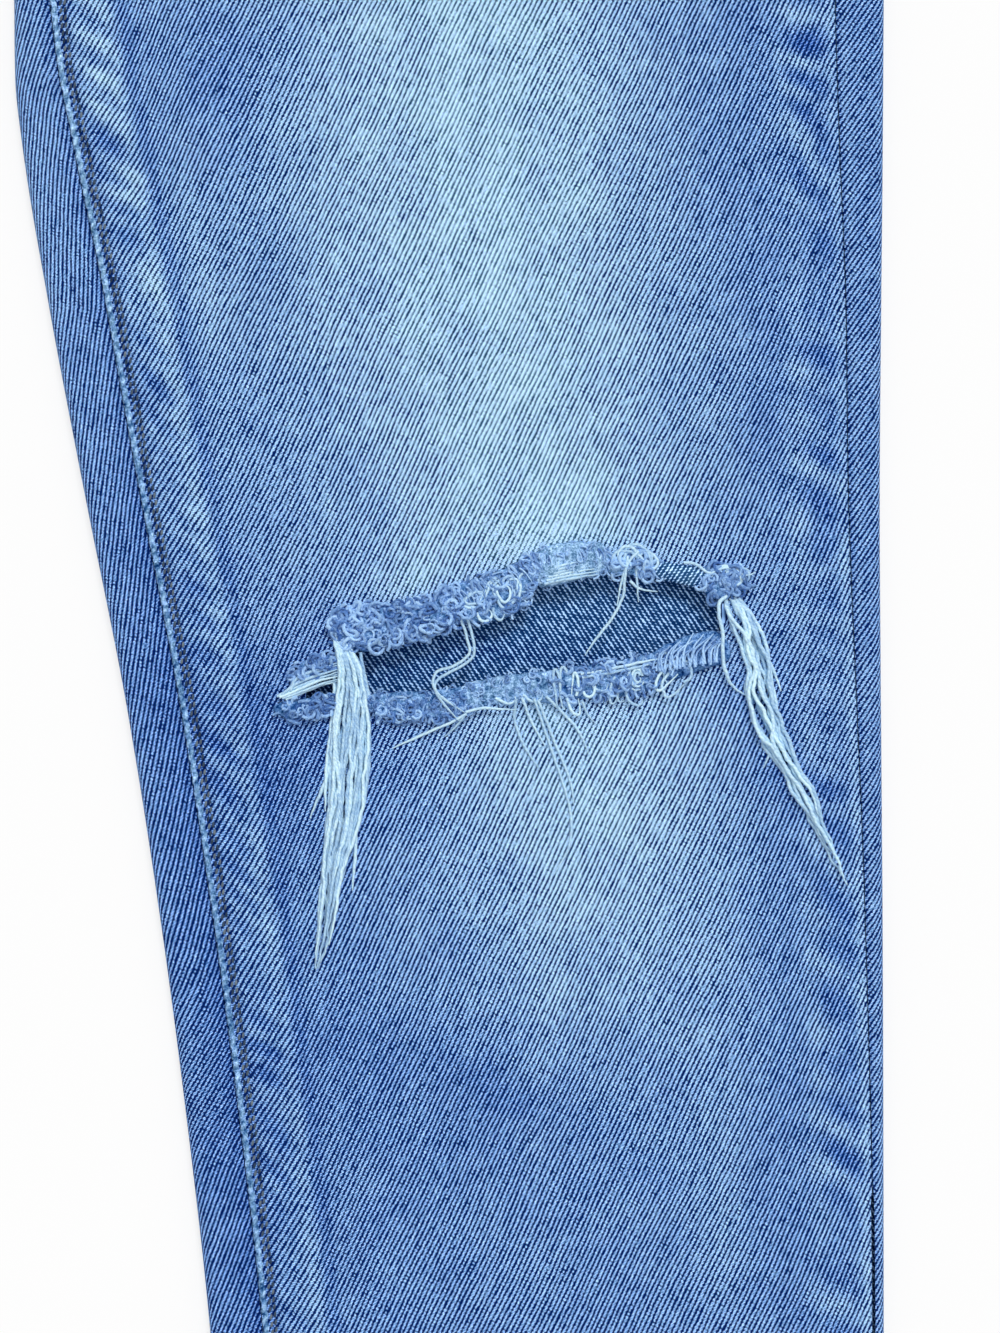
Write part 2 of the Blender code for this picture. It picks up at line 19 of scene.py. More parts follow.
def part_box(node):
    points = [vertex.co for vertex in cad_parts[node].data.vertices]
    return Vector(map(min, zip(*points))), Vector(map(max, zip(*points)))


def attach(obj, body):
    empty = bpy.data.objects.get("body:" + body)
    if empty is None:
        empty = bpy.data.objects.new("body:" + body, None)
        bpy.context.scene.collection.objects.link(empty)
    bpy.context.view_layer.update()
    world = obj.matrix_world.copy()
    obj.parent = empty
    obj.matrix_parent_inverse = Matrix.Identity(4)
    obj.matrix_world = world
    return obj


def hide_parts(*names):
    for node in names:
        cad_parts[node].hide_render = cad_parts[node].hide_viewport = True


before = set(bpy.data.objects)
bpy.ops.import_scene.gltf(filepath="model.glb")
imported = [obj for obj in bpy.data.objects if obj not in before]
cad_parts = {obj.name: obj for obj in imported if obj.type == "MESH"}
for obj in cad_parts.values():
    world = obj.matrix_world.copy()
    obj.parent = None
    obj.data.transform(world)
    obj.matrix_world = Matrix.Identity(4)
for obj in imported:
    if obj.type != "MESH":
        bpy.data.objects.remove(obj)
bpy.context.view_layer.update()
MM = 0.001
print("nodes:", ", ".join(sorted(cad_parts)))

# %% [markdown]
# ## Sums that build shader nodes
#
# A denim finish is mostly sums on a few values, such as the fade and the twill. They could be
# wired by hand, but they read better as Python, so one small class wraps a socket and turns each
# sum into a Math node. Every other node comes from one method of the board that holds them.

# %% A value in a node tree
class Number:
    """A value that changes over a surface. Sums written with it add the tree's Math nodes."""

    def __init__(self, board, socket):
        self.board = board
        self.socket = socket

    def math(self, operation, *terms):
        return self.board.add("ShaderNodeMath", {"operation": operation}, dict(enumerate(terms)))

    def __add__(self, other):
        return self.math("ADD", self, other)

    __radd__ = __add__

    def __sub__(self, other):
        return self.math("SUBTRACT", self, other)

    def __rsub__(self, other):
        return self.math("SUBTRACT", other, self)

    def __mul__(self, other):
        return self.math("MULTIPLY", self, other)

    __rmul__ = __mul__

    def held(self):
        """Kept from 0 to 1."""
        return self.board.add("ShaderNodeClamp", values={"Value": self})

    def wave(self):
        """A cosine from -1 to 1 that repeats with every whole number."""
        return self.math("COSINE", self * math.tau)

    def part(self):
        """How far past the last whole number."""
        return self.math("FRACT", self)


print("values can be added, subtracted and multiplied")

# %% The board that nodes are put on
def socket_at(sockets, key):
    """A socket by its number, or the one of that name that is in use."""
    if isinstance(key, int):
        return sockets[key]
    return next(socket for socket in sockets if socket.name == key and socket.enabled)


class Board:
    """A shader's or a geometry tree's nodes, added one at a time."""

    def __init__(self, tree):
        self.tree = tree

    def add(self, kind, settings=None, values=None, out=0):
        node = self.tree.nodes.new(kind)
        for name, value in (settings or {}).items():
            setattr(node, name, value)
        for key, value in (values or {}).items():
            socket = socket_at(node.inputs, key)
            if isinstance(value, Number):
                self.tree.links.new(value.socket, socket)
            else:
                socket.default_value = value
        return Number(self, socket_at(node.outputs, out))

    def attribute(self, name, out):
        return self.add("ShaderNodeAttribute", {"attribute_name": name}, out=out)

    def noise(self, place, scale, detail=2.0):
        values = {"Vector": place, "Scale": scale, "Detail": detail}
        return self.add("ShaderNodeTexNoise", values=values, out="Fac")

    def vector(self, *parts):
        return self.add("ShaderNodeCombineXYZ", values=dict(enumerate(parts)))

    def stretch(self, place, scale):
        return self.add("ShaderNodeVectorMath", {"operation": "MULTIPLY"}, {0: place, 1: scale})

    def along(self, place, direction):
        settings = {"operation": "DOT_PRODUCT"}
        return self.add("ShaderNodeVectorMath", settings, {0: place, 1: direction}, out="Value")

    def blend(self, share, low, high):
        settings = {"data_type": "RGBA", "clamp_factor": False}
        return self.add("ShaderNodeMix", settings, {"Factor": share, "A": low, "B": high}, out="Result")

    def random(self, low, high, kind="FLOAT", **values):
        values |= {"Min": low, "Max": high}
        return self.add("FunctionNodeRandomValue", {"data_type": kind}, values, out="Value")

    def stored(self, geometry, name, value):
        """Geometry whose points carry a value that the materials read by its name."""
        settings = {"data_type": "FLOAT", "domain": "POINT"}
        values = {"Geometry": geometry, "Name": name, "Value": value}
        return self.add("GeometryNodeStoreNamedAttribute", settings, values)


print("nodes that have a method:", len([name for name in vars(Board) if name[0] != "_"]) - 1)

# %% A new material
def paint(name, **constants):
    """A new material with its board and its Principled shader, and the shader's plain values."""
    material = bpy.data.materials.new(name)
    material.use_nodes = True
    shader = material.node_tree.nodes["Principled BSDF"]
    for key, value in constants.items():
        shader.inputs[key.replace("_", " ")].default_value = value
    return material, Board(material.node_tree), shader


def shade(board, shader, colour, height, lift):
    """Links a colour, and a height whose unit is worth lift metres, to the shader."""
    bump = board.add("ShaderNodeBump", values={"Height": height, "Distance": lift, "Strength": 1.0})
    board.tree.links.new(colour.socket, shader.inputs["Base Color"])
    board.tree.links.new(bump.socket, shader.inputs["Normal"])


print("materials can be painted")

# %% [markdown]
# ## Denim
#
# Denim is a twill: blue warp yarns float over three white weft yarns and under one, and each row
# steps one yarn sideways, which draws steep ridges rising to the right. Washing wears the blue off
# the ridges and leaves it in the grooves. A bitmap could show that, but it would blur close up, so
# two waves make it here: one across the twill ridges and one across the weft rows, which breaks
# the dark grooves into pits. Both are measured in millimetres along the cloth, by an attribute
# that each panel carries, so that the weave bends with the cloth. A second attribute, tone, says
# how far the wash has faded each place.

# %% Colours of the wash, and the twill
TWILL_LEAN = math.radians(64.5)  # the ridges' rise to the right
TWILL_PITCH = 1.1  # millimetres from ridge to ridge
WEFT_LEAN = math.radians(15.4)  # the weft rows' rise to the right
WEFT_PITCH = 0.6875  # millimetres from row to row
INDIGO = (0.205, 0.385, 0.645, 1.0)  # unfaded, as a display colour
FADED = (0.706, 0.858, 0.972, 1.0)  # and fully faded
DEEPEST = (0.0, 0.15, 0.39)  # the floor of a groove
DARKEST_TONE = 0.196  # the tone at which cloth is plain indigo
TONE_RANGE = 0.51  # and how much further it is to the faded colour
DISPLAY_GAMMA = 2.2
DULL = 0.08  # how much cotton shines, where 0.5 is plastic
STAIR = 0.30  # how far a twill ridge steps sideways from one weft row to the next, in pitches


def faded_blue(board, tone, offset):
    """The wash colour for a tone, lightened or darkened alike in all its channels by the weave."""
    share = (tone - DARKEST_TONE) * (1 / TONE_RANGE)
    wash = board.blend(share, INDIGO, FADED)
    woven = board.add("ShaderNodeVectorMath", {"operation": "ADD"}, {0: wash, 1: offset})
    floor = board.add("ShaderNodeVectorMath", {"operation": "MAXIMUM"}, {0: woven, 1: DEEPEST})
    return board.add("ShaderNodeGamma", values={"Color": floor, "Gamma": DISPLAY_GAMMA})


def twill(board, stair):
    """The waves of the twill and of the weft rows, how worn a ridge is, and how each float differs."""
    place = board.attribute("weave", "Vector")
    uneven = board.noise(board.stretch(place, (0.34, 0.12, 0.0)), 1.0) - 0.5
    ragged = board.noise(board.stretch(place, (1.5, 1.5, 0.0)), 1.0) - 0.5
    across = (math.sin(TWILL_LEAN) / TWILL_PITCH, -math.cos(TWILL_LEAN) / TWILL_PITCH, 0.0)
    down = (-math.sin(WEFT_LEAN) / WEFT_PITCH, math.cos(WEFT_LEAN) / WEFT_PITCH, 0.0)
    number = board.along(place, across) + uneven * 0.4 + ragged * 0.42
    level = board.along(place, down) + uneven * 0.4
    line = board.vector(number * 0.9, level * 0.13)
    stepped = number + level.part() * stair
    cell = board.vector(number * 1.1, level * 0.5)
    grain = board.noise(cell, 1.0, 1.0) - 0.5
    return stepped.wave(), level.wave(), board.noise(line, 1.0, 1.0) - 0.5, grain


print(f"twill ridges {TWILL_PITCH} mm apart, weft rows {WEFT_PITCH:.2f} mm")

# %% Both faces of the cloth, and its fluff
def denim_face(name):
    """The right side: broad faded ridges with narrow dark grooves, which fill in as the cloth fades."""
    material, board, shader = paint(name, Roughness=0.92, Specular_IOR_Level=DULL)
    ridge, row, wear, grain = twill(board, STAIR)
    place = board.attribute("weave", "Vector")
    fibre = board.noise(board.stretch(place, (2.2, 1.6, 0.0)), 1.0) - 0.5
    cloud = board.noise(place, 0.09, 3.0) - 0.5
    blot = board.noise(board.stretch(place, (0.42, 0.2, 0.0)), 1.0, 2.0) - 0.5
    fade = board.attribute("tone", "Fac") + cloud * 0.04 + blot * 0.05
    tone = fade * 2.0 - 0.51
    strength = fade * -5.9 + 4.29
    worn_off = 1.05 - fade * 1.9
    groove = (ridge * -1.3 + row * 0.45 + grain * 3.8 + wear * 1.8 + worn_off).held()
    offset = (0.16 - groove * 0.76 + (1 - groove) * row * 0.1 + fibre * 0.3 + grain * 0.3) * strength
    colour = faded_blue(board, tone, offset)
    shade(board, shader, colour, ridge * 0.5 + row * 0.2 + grain * 0.8, 0.00012)
    return material


def denim_inside(name):
    """The wrong side: dark grooves between rows of pale weft dots."""
    material, board, shader = paint(name, Roughness=0.95, Specular_IOR_Level=DULL)
    ridge, row, wear, grain = twill(board, 0.0)
    place = board.attribute("weave", "Vector")
    dots = (ridge + row * 0.5 + grain * 2.2 + wear * 1.2 - 0.05).held()
    cloud = board.noise(place, 0.12, 2.0) - 0.5
    tone = board.attribute("tone", "Fac") + cloud * 0.05
    colour = faded_blue(board, tone, dots * 0.70 - 0.34 + grain * 0.2)
    shade(board, shader, colour, dots + grain * 0.4, 0.00010)
    return material


def frayed(name):
    """Cloth worn to fluff, where no weave is left: pale fibres, with painted shade in the soft hollows
    between them.
    """
    material, board, shader = paint(name, Roughness=1.0, Specular_IOR_Level=DULL)
    place = board.add("ShaderNodeTexCoord", out="Object")
    clump = board.noise(place, 700.0, 2.0) - 0.5
    fibre = board.noise(place, 2400.0, 2.0) - 0.5
    tone = board.attribute("tone", "Fac")
    # The clumps are random tone and also painted shade, darker where their bump sinks into a hollow.
    colour = faded_blue(board, tone, clump * 1.1 + fibre * 0.9)
    shade(board, shader, colour, clump + fibre * 0.5, 0.0004)
    return material


FACE = denim_face("denim_face")
INSIDE = denim_inside("denim_inside")
FLUFF = frayed("denim_fluff")
print("materials:", FACE.name, INSIDE.name, FLUFF.name)

# %% [markdown]
# ## Yarns, thread and metal
#
# A loose yarn is spun from short fibres, so it shows a slow twist and a little fuzz rather than a
# smooth plastic tube. The tubes below carry how far along and how far round each point is, and the
# twist is a wave of both. The sewing thread has gone grey and brown in the wash, and the waist
# button is a plain tack button of darkened metal.

# %% Yarn, thread and button
def spun(name, shadow, light, twist, depth):
    """A twisted yarn between two display colours, shifted by its own tone."""
    material, board, shader = paint(name, Roughness=0.95, Specular_IOR_Level=DULL)
    along = board.attribute("along", "Fac")
    around = board.attribute("around", "Fac")
    place = board.add("ShaderNodeTexCoord", out="Object")
    fuzz = board.noise(place, 2400.0, 2.0) - 0.5
    clump = board.noise(place, 420.0, 2.0) - 0.5
    ply = (along * (1 / twist) + around * 2.0 + clump).wave()
    share = (ply * 0.08 + fuzz * 0.6 + clump * 0.5 + board.attribute("tone", "Fac")).held()
    mixed = board.blend(share, (*shadow, 1.0), (*light, 1.0))
    colour = board.add("ShaderNodeGamma", values={"Color": mixed, "Gamma": DISPLAY_GAMMA})
    shade(board, shader, colour, ply + fuzz, depth)
    return material


def worn_metal(name):
    material, board, shader = paint(name, Metallic=1.0, Coat_Weight=0.15)
    place = board.add("ShaderNodeTexCoord", out="Object")
    rub = board.noise(place, 900.0, 4.0)
    colour = board.blend(rub, (0.16, 0.12, 0.09, 1.0), (0.50, 0.40, 0.30, 1.0))
    board.tree.links.new((rub * 0.3 + 0.28).socket, shader.inputs["Roughness"])
    shade(board, shader, colour, rub, 0.00004)
    return material


WHITE_YARN = spun("white_yarn", (0.38, 0.56, 0.80), (0.88, 1.01, 1.06), 0.0013, 0.00004)
BLUE_YARN = spun("blue_yarn", (0.13, 0.28, 0.58), (0.74, 0.90, 1.06), 0.0011, 0.00004)
THREAD = spun("sewing_thread", (0.10, 0.17, 0.28), (0.52, 0.57, 0.60), 0.0008, 0.00003)
METAL = worn_metal("worn_metal")
print("materials:", WHITE_YARN.name, BLUE_YARN.name, THREAD.name, METAL.name)

# %% [markdown]
# ## The sewing pattern
#
# Each leg is a flattened tube. The front panel covers its top, and the wider back panel wraps
# round both folded edges, so both seams lie on the front. The tables give, at a few heights, where
# the folded edges are, how far in the seams lie, and how high the cloth is. All in millimetres.

# %% Tables of the cut
WALL = 1.1
HEM_WALL = 2.2
GAP = 0.3  # between two pieces at a seam
ROUND_GAP = 0.9  # and where the seam lies on a folded edge
FOLD_REACH = 3.0  # how far in from a folded edge the cloth is still turning
QUARTER = FOLD_REACH * math.pi / 2  # and how much cloth that quarter turn takes
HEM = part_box("front_left")[0].y / MM
HEM_TOP = HEM + 12.0  # up to here the cloth is turned in and doubled
HEM_STITCHES = HEM_TOP + 1.0
CROTCH = 214.0
YOKE_SEAM = 422.0
WAIST = 457.0
WAIST_HALF = 178.0
WAIST_CURVE = 10.0
LEG_TOP = 5.0  # the height of a leg's upper face
SEAT_TOP = 7.0
SIDE_SEAM = 13.0

Outline = namedtuple("Outline", "y inner outer")
OUTLINE = [Outline(*row) for row in (
    (HEM, 68.5, 223.7),
    (-400, 62.5, 223.7),
    (-298, 54.8, 223.7),
    (-240, 48.3, 223.6),
    (-190, 41.6, 223.4),
    (-140, 33.6, 223),
    (-90, 23.7, 222.7),
    (-40, 14.2, 223.1),
    (0, 7.6, 223.5),
    (17, 5.9, 223.6),
    (35, 5.7, 223.7),
    (90, 4.6, 225),
    (140, 3.8, 228.5),
    (185, 3, 232.5),
    (205, 1.6, 234.5),
    (CROTCH, GAP / 2, 235.2),
    (262, GAP / 2, 238.5),
    (300, GAP / 2, 238.5),
    (345, GAP / 2, 233.5),
    (385, GAP / 2, 220),
    (YOKE_SEAM, GAP / 2, 200),
    (440, GAP / 2, 190.3),
    (WAIST, GAP / 2, WAIST_HALF),
)]
Seams = namedtuple("Seams", "y inseam side")
SEAMS = [Seams(*row) for row in (
    (HEM, 13.4, 2.7),
    (-298, 13.4, 2.7),
    (-190, 13.4, 4.7),
    (-90, 14, 8),
    (-40, 14.5, 9.1),
    (0, 12.9, 11.1),
    (35, 9.2, 12.3),
    (90, 6.4, 12.8),
    (140, 4, SIDE_SEAM),
    (185, 1.7, SIDE_SEAM),
    (CROTCH, 0, SIDE_SEAM),
    (WAIST, 0, SIDE_SEAM),
)]
Levels = namedtuple("Levels", "y under top")
LEVELS = [
    Levels(HEM, 0, 6),
    Levels(-494, 0, 6),
    Levels(-484, 0, LEG_TOP),
    Levels(165, 0, LEG_TOP),
    Levels(222, 1.5, SEAT_TOP),
    Levels(WAIST, 1.5, SEAT_TOP),
]
Fold = namedtuple("Fold", "y folded")
INNER_FOLD = [Fold(CROTCH, 1.0), Fold(240, 0.0)]
Dip = namedtuple("Dip", "y vee curve")
FRONT_DIP = [Dip(300, 0.0, 0.0), Dip(WAIST, 0.0, -WAIST_CURVE)]
BACK_DIP = [Dip(300, 0.0, 0.0), Dip(YOKE_SEAM, -27.0, 0.0), Dip(WAIST, 0.0, WAIST_CURVE)]
print(f"leg {WAIST - HEM:.0f} mm long, {OUTLINE[0].outer - OUTLINE[0].inner:.0f} mm wide at the hem")


# %% Smooth lines through the tables
def smooth_line(table, column, place):
    """A table's column on a smooth line that never swings past a row's own value."""
    places = np.array([row[0] for row in table], float)
    values = np.array([getattr(row, column) for row in table], float)
    slope = np.diff(values) / np.diff(places)
    product = slope[:-1] * slope[1:]
    total = np.where(product > 0, slope[:-1] + slope[1:], 1.0)
    tangent = np.concatenate([slope[:1], np.where(product > 0, 2 * product / total, 0.0), slope[-1:]])
    place = np.clip(place, places[0], places[-1])
    i = np.clip(np.searchsorted(places, place, side="right") - 1, 0, len(slope) - 1)
    step = places[i + 1] - places[i]
    t = (place - places[i]) / step
    start = (2 * t**3 - 3 * t**2 + 1) * values[i] + (t**3 - 2 * t**2 + t) * step * tangent[i]
    end = (3 * t**2 - 2 * t**3) * values[i + 1] + (t**3 - t**2) * step * tangent[i + 1]
    return start + end


hem_inset = smooth_line(SEAMS, "inseam", np.array([HEM]))[0]
print(f"the inseam lies {hem_inset:.1f} mm in from the fold at the hem")

# %% Steps, bumps and soft noise
def ease(low, high, value):
    """Rises smoothly from 0 at low to 1 at high."""
    t = np.clip((value - low) / (high - low), 0.0, 1.0)
    return t * t * (3 - 2 * t)


def hump(value, middle, reach):
    """A smooth bump of height 1 that has sunk to about a third at its reach."""
    return np.exp(-(((value - middle) / reach) ** 2))


def patchy(x, y, size, layer):
    """Soft noise from about -1 to 1 over places in millimetres."""
    x, y = np.broadcast_arrays(x, y)
    flat = [noise.noise((a / size, b / size, layer)) for a, b in zip(x.ravel(), y.ravel())]
    return np.array(flat).reshape(x.shape) * 1.6


print(f"a hump at its reach is {hump(1.0, 0.0, 1.0):.2f} high")

# %% Where the cloth lies
def round_leg(edge, y, along):
    """X and Z at a distance along the cloth from a folded edge: over the front, or under if negative."""
    under = smooth_line(LEVELS, "under", y)
    top = smooth_line(LEVELS, "top", y)
    half = (top - under) / 2
    if edge == "inner":
        half = half * smooth_line(INNER_FOLD, "folded", y)
    turned = np.clip(np.abs(along) / FOLD_REACH, 0, math.pi / 2)
    reach = FOLD_REACH * (1 - np.cos(turned)) + np.maximum(np.abs(along) - QUARTER, 0)
    hollow = half * (1 - np.sin(turned))
    fold = smooth_line(OUTLINE, edge, y)
    x = fold + reach if edge == "inner" else fold - reach
    z = np.where(along > 0, top - hollow, under + hollow)
    return x, z


def seam_along(edge, y):
    """A seam's place along the cloth from its folded edge, and half the gap that it leaves."""
    distance = smooth_line(SEAMS, "inseam" if edge == "inner" else "side", y)
    near = FOLD_REACH * np.arccos(np.clip(1 - distance / FOLD_REACH, -1, 1))
    along = np.where(distance >= FOLD_REACH, QUARTER + distance - FOLD_REACH, near)
    return along, np.where(along > QUARTER, GAP, ROUND_GAP) / 2


def seam_x(edge, y):
    """X of a front panel's edge at one of its seams."""
    return round_leg(edge, y, sum(seam_along(edge, y)))[0]


def dipped(x, y, dips):
    """Y with a row's middle moved up or down, as the waist and the yoke seam are cut."""
    side = smooth_line(OUTLINE, "outer", y) - smooth_line(SEAMS, "side", y)
    out = np.clip(x / side, 0.0, 1.0)
    return y + smooth_line(dips, "vee", y) * (1 - out) + smooth_line(dips, "curve", y) * (1 - out * out)


def waist_seam(x, middle):
    """Y of the waist seam, moved by middle at the garment's centre."""
    side = WAIST_HALF - SIDE_SEAM
    return WAIST + middle * (1 - np.minimum(np.abs(x) / side, 1.0) ** 2)


print("waist seam dips to", waist_seam(0.0, -WAIST_CURVE), "mm in front")

# %% [markdown]
# ## A wall of cloth
#
# A panel is an open grid of points on its outer face. A cloth simulation could drape it, but the
# garment lies flat and its creases are known, so they are listed one by one and the grid is made
# straight into a surface. Solidify then gives it its thickness inwards, with the wrong side of the
# denim on the inner face.

# %% Finishing a mesh
def solid(piece):
    """Makes a piece's modifiers real, so that a plain mesh is left."""
    graph = bpy.context.evaluated_depsgraph_get()
    mesh = bpy.data.meshes.new_from_object(piece.evaluated_get(graph))
    piece.modifiers.clear()
    piece.data = mesh
    return piece


def smoothed(mesh):
    mesh.polygons.foreach_set("use_smooth", [True] * len(mesh.polygons))


def carry(mesh, weave, tone):
    """Gives each point its place in the weave and its tone, for the materials."""
    flat = np.zeros((len(weave), 3), np.float32)
    flat[:, :2] = weave
    mesh.attributes.new("weave", "FLOAT_VECTOR", "POINT").data.foreach_set("vector", flat.ravel())
    mesh.attributes.new("tone", "FLOAT", "POINT").data.foreach_set("value", tone.astype(np.float32))


def round_angles(count):
    """Angles once round a ring, in a row."""
    return np.linspace(0, math.tau, count, endpoint=False)[None, :]


def joined(*parts):
    """Places or directions from their separate parts. A plain number holds for all of them."""
    return np.stack(np.broadcast_arrays(*parts), axis=-1)


def turned_out(mesh):
    """Makes every face of a closed mesh look outward."""
    shape = bmesh.new()
    shape.from_mesh(mesh)
    bmesh.ops.recalc_face_normals(shape, faces=shape.faces)
    shape.to_mesh(mesh)
    shape.free()


def add_piece(name, data):
    piece = bpy.data.objects.new(name, data)
    bpy.context.scene.collection.objects.link(piece)
    return piece


print("angles round a ring of 4:", np.degrees(round_angles(4)[0]))

# %% Grid to shell
def shell(name, points, weave, tone, wall=WALL, flip=False, keep=None, thick=None):
    """Cloth whose outer face goes through a grid of points, all given in millimetres."""
    rows, columns = tone.shape
    corner = np.arange(rows * columns).reshape(rows, columns)
    quads = joined(corner[:-1, :-1], corner[:-1, 1:], corner[1:, 1:], corner[1:, :-1])
    quads = quads.reshape(-1, 4)
    if keep is not None:
        quads = quads[keep.ravel()]
    if flip:
        quads = quads[:, ::-1]
    used, quads = np.unique(quads, return_inverse=True)
    mesh = bpy.data.meshes.new(name)
    mesh.from_pydata((points.reshape(-1, 3)[used] * MM).tolist(), [], quads.reshape(-1, 4).tolist())
    carry(mesh, weave.reshape(-1, 2)[used], tone.ravel()[used])
    mesh.materials.append(FACE)
    mesh.materials.append(INSIDE)
    smoothed(mesh)
    piece = add_piece(name, mesh)
    wall_maker = piece.modifiers.new("wall", "SOLIDIFY")
    wall_maker.thickness = wall * MM
    wall_maker.offset = -1
    wall_maker.material_offset = 1
    if thick is not None:
        group = piece.vertex_groups.new(name="hem")
        group.add(np.nonzero(thick.ravel()[used])[0].tolist(), 1.0, "REPLACE")
        wall_maker.thickness = HEM_WALL * MM
        wall_maker.vertex_group = "hem"
        wall_maker.thickness_vertex_group = wall / HEM_WALL
    solid(piece)
    piece.data.set_sharp_from_angle(angle=math.radians(50))
    print(f"{name}: {len(piece.data.polygons)} faces")
    return piece


def spaced(*stops):
    """Places from (start, step) pairs up to a last plain number."""
    places = []
    for (start, step), after in zip(stops, stops[1:]):
        end = after[0] if isinstance(after, tuple) else after
        count = max(round(abs(end - start) / step), 1)
        places.extend(np.linspace(start, end, count, endpoint=False))
    places.append(stops[-1])
    return np.array(places)


print("rows down a leg:", len(spaced((HEM, 4.5), (-310, 1.1), (50, 4.5), WAIST)))

# %% [markdown]
# ## Creases and the wash
#
# On the real pair the wash was sanded on by hand: a pale band runs down the front of each thigh,
# over the knee and fades out on the shin, and the seams and hems are rubbed where they stand
# proud. Noise alone would look like a cloudy sky, so the fade is a table by height down the leg,
# and patches and creases are placed one by one. A few dark patches are painted shade, in a crease
# and under a frayed edge. A tone runs from 0, the floor of a dark groove, to 255, bare white yarn,
# and lengths are in millimetres.

# %% Tables of the wash
Wash = namedtuple("Wash", "y centre half middle inner outer")
FRONT_WASH = [Wash(*row) for row in (
    (HEM, 150, 42, 124, 108, 104),
    (-490, 150, 42, 112, 98, 94),
    (-400, 156, 42, 110, 97, 93),
    (-298, 176, 40, 106, 102.5, 96.5),
    (-245, 170, 38, 108, 97.5, 94.5),
    (-225, 160, 38, 120, 98.5, 95.5),
    (-205, 156, 37, 129, 105.5, 95.5),
    (-185, 152, 35, 137, 106.5, 96.5),
    (-165, 149, 33, 144, 97.5, 99.5),
    (-145, 147, 33, 140, 92.5, 102.5),
    (-105, 138, 38, 145, 107.5, 102.5),
    (-85, 134, 40, 146, 109.5, 99.5),
    (-40, 126, 44, 147, 110.5, 99.5),
    (5, 119.5, 44, 146, 107.5, 99.5),
    (35, 119, 46, 146, 108.5, 100.5),
    (120, 114, 51, 145, 102, 98),
    (250, 112, 58, 142, 100, 98),
    (380, 104, 60, 126, 98, 100),
    (WAIST, 98, 60, 114, 98, 100),
)]
BACK_WASH = [Wash(*row) for row in (
    (HEM, 146, 50, 116, 100, 100),
    (-480, 146, 50, 104, 96, 96),
    (-200, 142, 46, 108, 94, 94),
    (-110, 138, 46, 100, 92, 92),
    (60, 128, 52, 122, 96, 96),
    (180, 118, 56, 124, 98, 98),
    (320, 104, 60, 138, 102, 100),
    (430, 98, 64, 120, 100, 98),
    (WAIST + 20, 96, 64, 112, 100, 98),
)]
print("wash:", len(FRONT_WASH), "rows in front,", len(BACK_WASH), "rows behind")

# %% Tables of patches
Patch = namedtuple("Patch", "x y wide tall lean tone")
KNEE_PATCHES = [Patch(*row) for row in (
    # Painted shade in the trough of a crease from the crotch.
    (57, 16, 13, 15, 20, -16),
    (72, 24, 16, 8, 35, -8),
    (54, -40, 4, 24, 10, 12),
    (69, -31, 5, 12, 0, -9),
    (84, -24, 4, 30, 4, 6),
    (104, -110, 13, 7, 18, 14),
    (141, -96, 13, 14, 0, 7),
    (122, -80, 3, 26, -32, 6),
    (132, -84, 2.5, 20, -32, -6),
    (73, -165, 7, 30, 0, -12),
    (88, -208, 9, 16, 0, -4),
    (98, -228, 16, 9, -12, -8),
    (124, -234, 9, 4.5, -14, -14),
    (132, -241, 10, 3.5, -8, -16),
    (141, -205, 5, 32, -8, 5),
    (202, -205, 5, 45, 0, -3),
    (182, -258, 8, 32, 4, 9),
    (196, -150, 8, 20, 30, -10),
    (162, -228, 7, 5, 0, -5),
    (118, -272, 20, 10, 5, 4),
    (66, -121, 8, 9, 0, 7),
    (76, -103, 11, 7, 0, 4),
    # Painted shadow under the slit's lower frayed edge.
    (71, -146, 6, 5, 0, -8),
    (96, -141, 8, 5, 0, -16),
    (120, -147, 30, 5, 8, 6),
    (152, 4, 26, 30, 0, 3.5),
    (38, -4, 20, 26, 0, 3),
    (72, -92, 10, 14, 0, 3.5),
    (211, -150, 5, 14, 0, 5),
)]
PLAIN_PATCHES = [Patch(*row) for row in (
    # Painted shade of a crease from the crotch, as on the torn leg.
    (60, 20, 15, 18, 10, -12),
    (118, -70, 22, 26, 0, 10),
    (100, -104, 20, 8, -14, 8),
    (128, -150, 24, 14, 6, 6),
    (70, -190, 9, 34, 0, -9),
    (150, -250, 16, 7, 10, -9),
    (190, -60, 6, 40, -4, -6),
    (92, 60, 6, 44, 6, 7),
)]
BACK_PATCHES = [Patch(*row) for row in (
    (110, -96, 46, 3, 5, 12),
    (120, -106, 44, 3, -4, -12),
    (104, -118, 40, 3, 8, 12),
    (128, -128, 40, 3, -6, -10),
    (118, -138, 36, 3, 4, 10),
    (100, -130, 18, 12, 0, -5),
    (158, -120, 20, 12, 0, 6),
    (110, 300, 44, 36, 0, 10),
    (60, 200, 46, 4, 12, 9),
    (66, 186, 44, 4, 16, -9),
)]
print("patches:", len(KNEE_PATCHES), "on the torn leg,", len(PLAIN_PATCHES), "on the other")

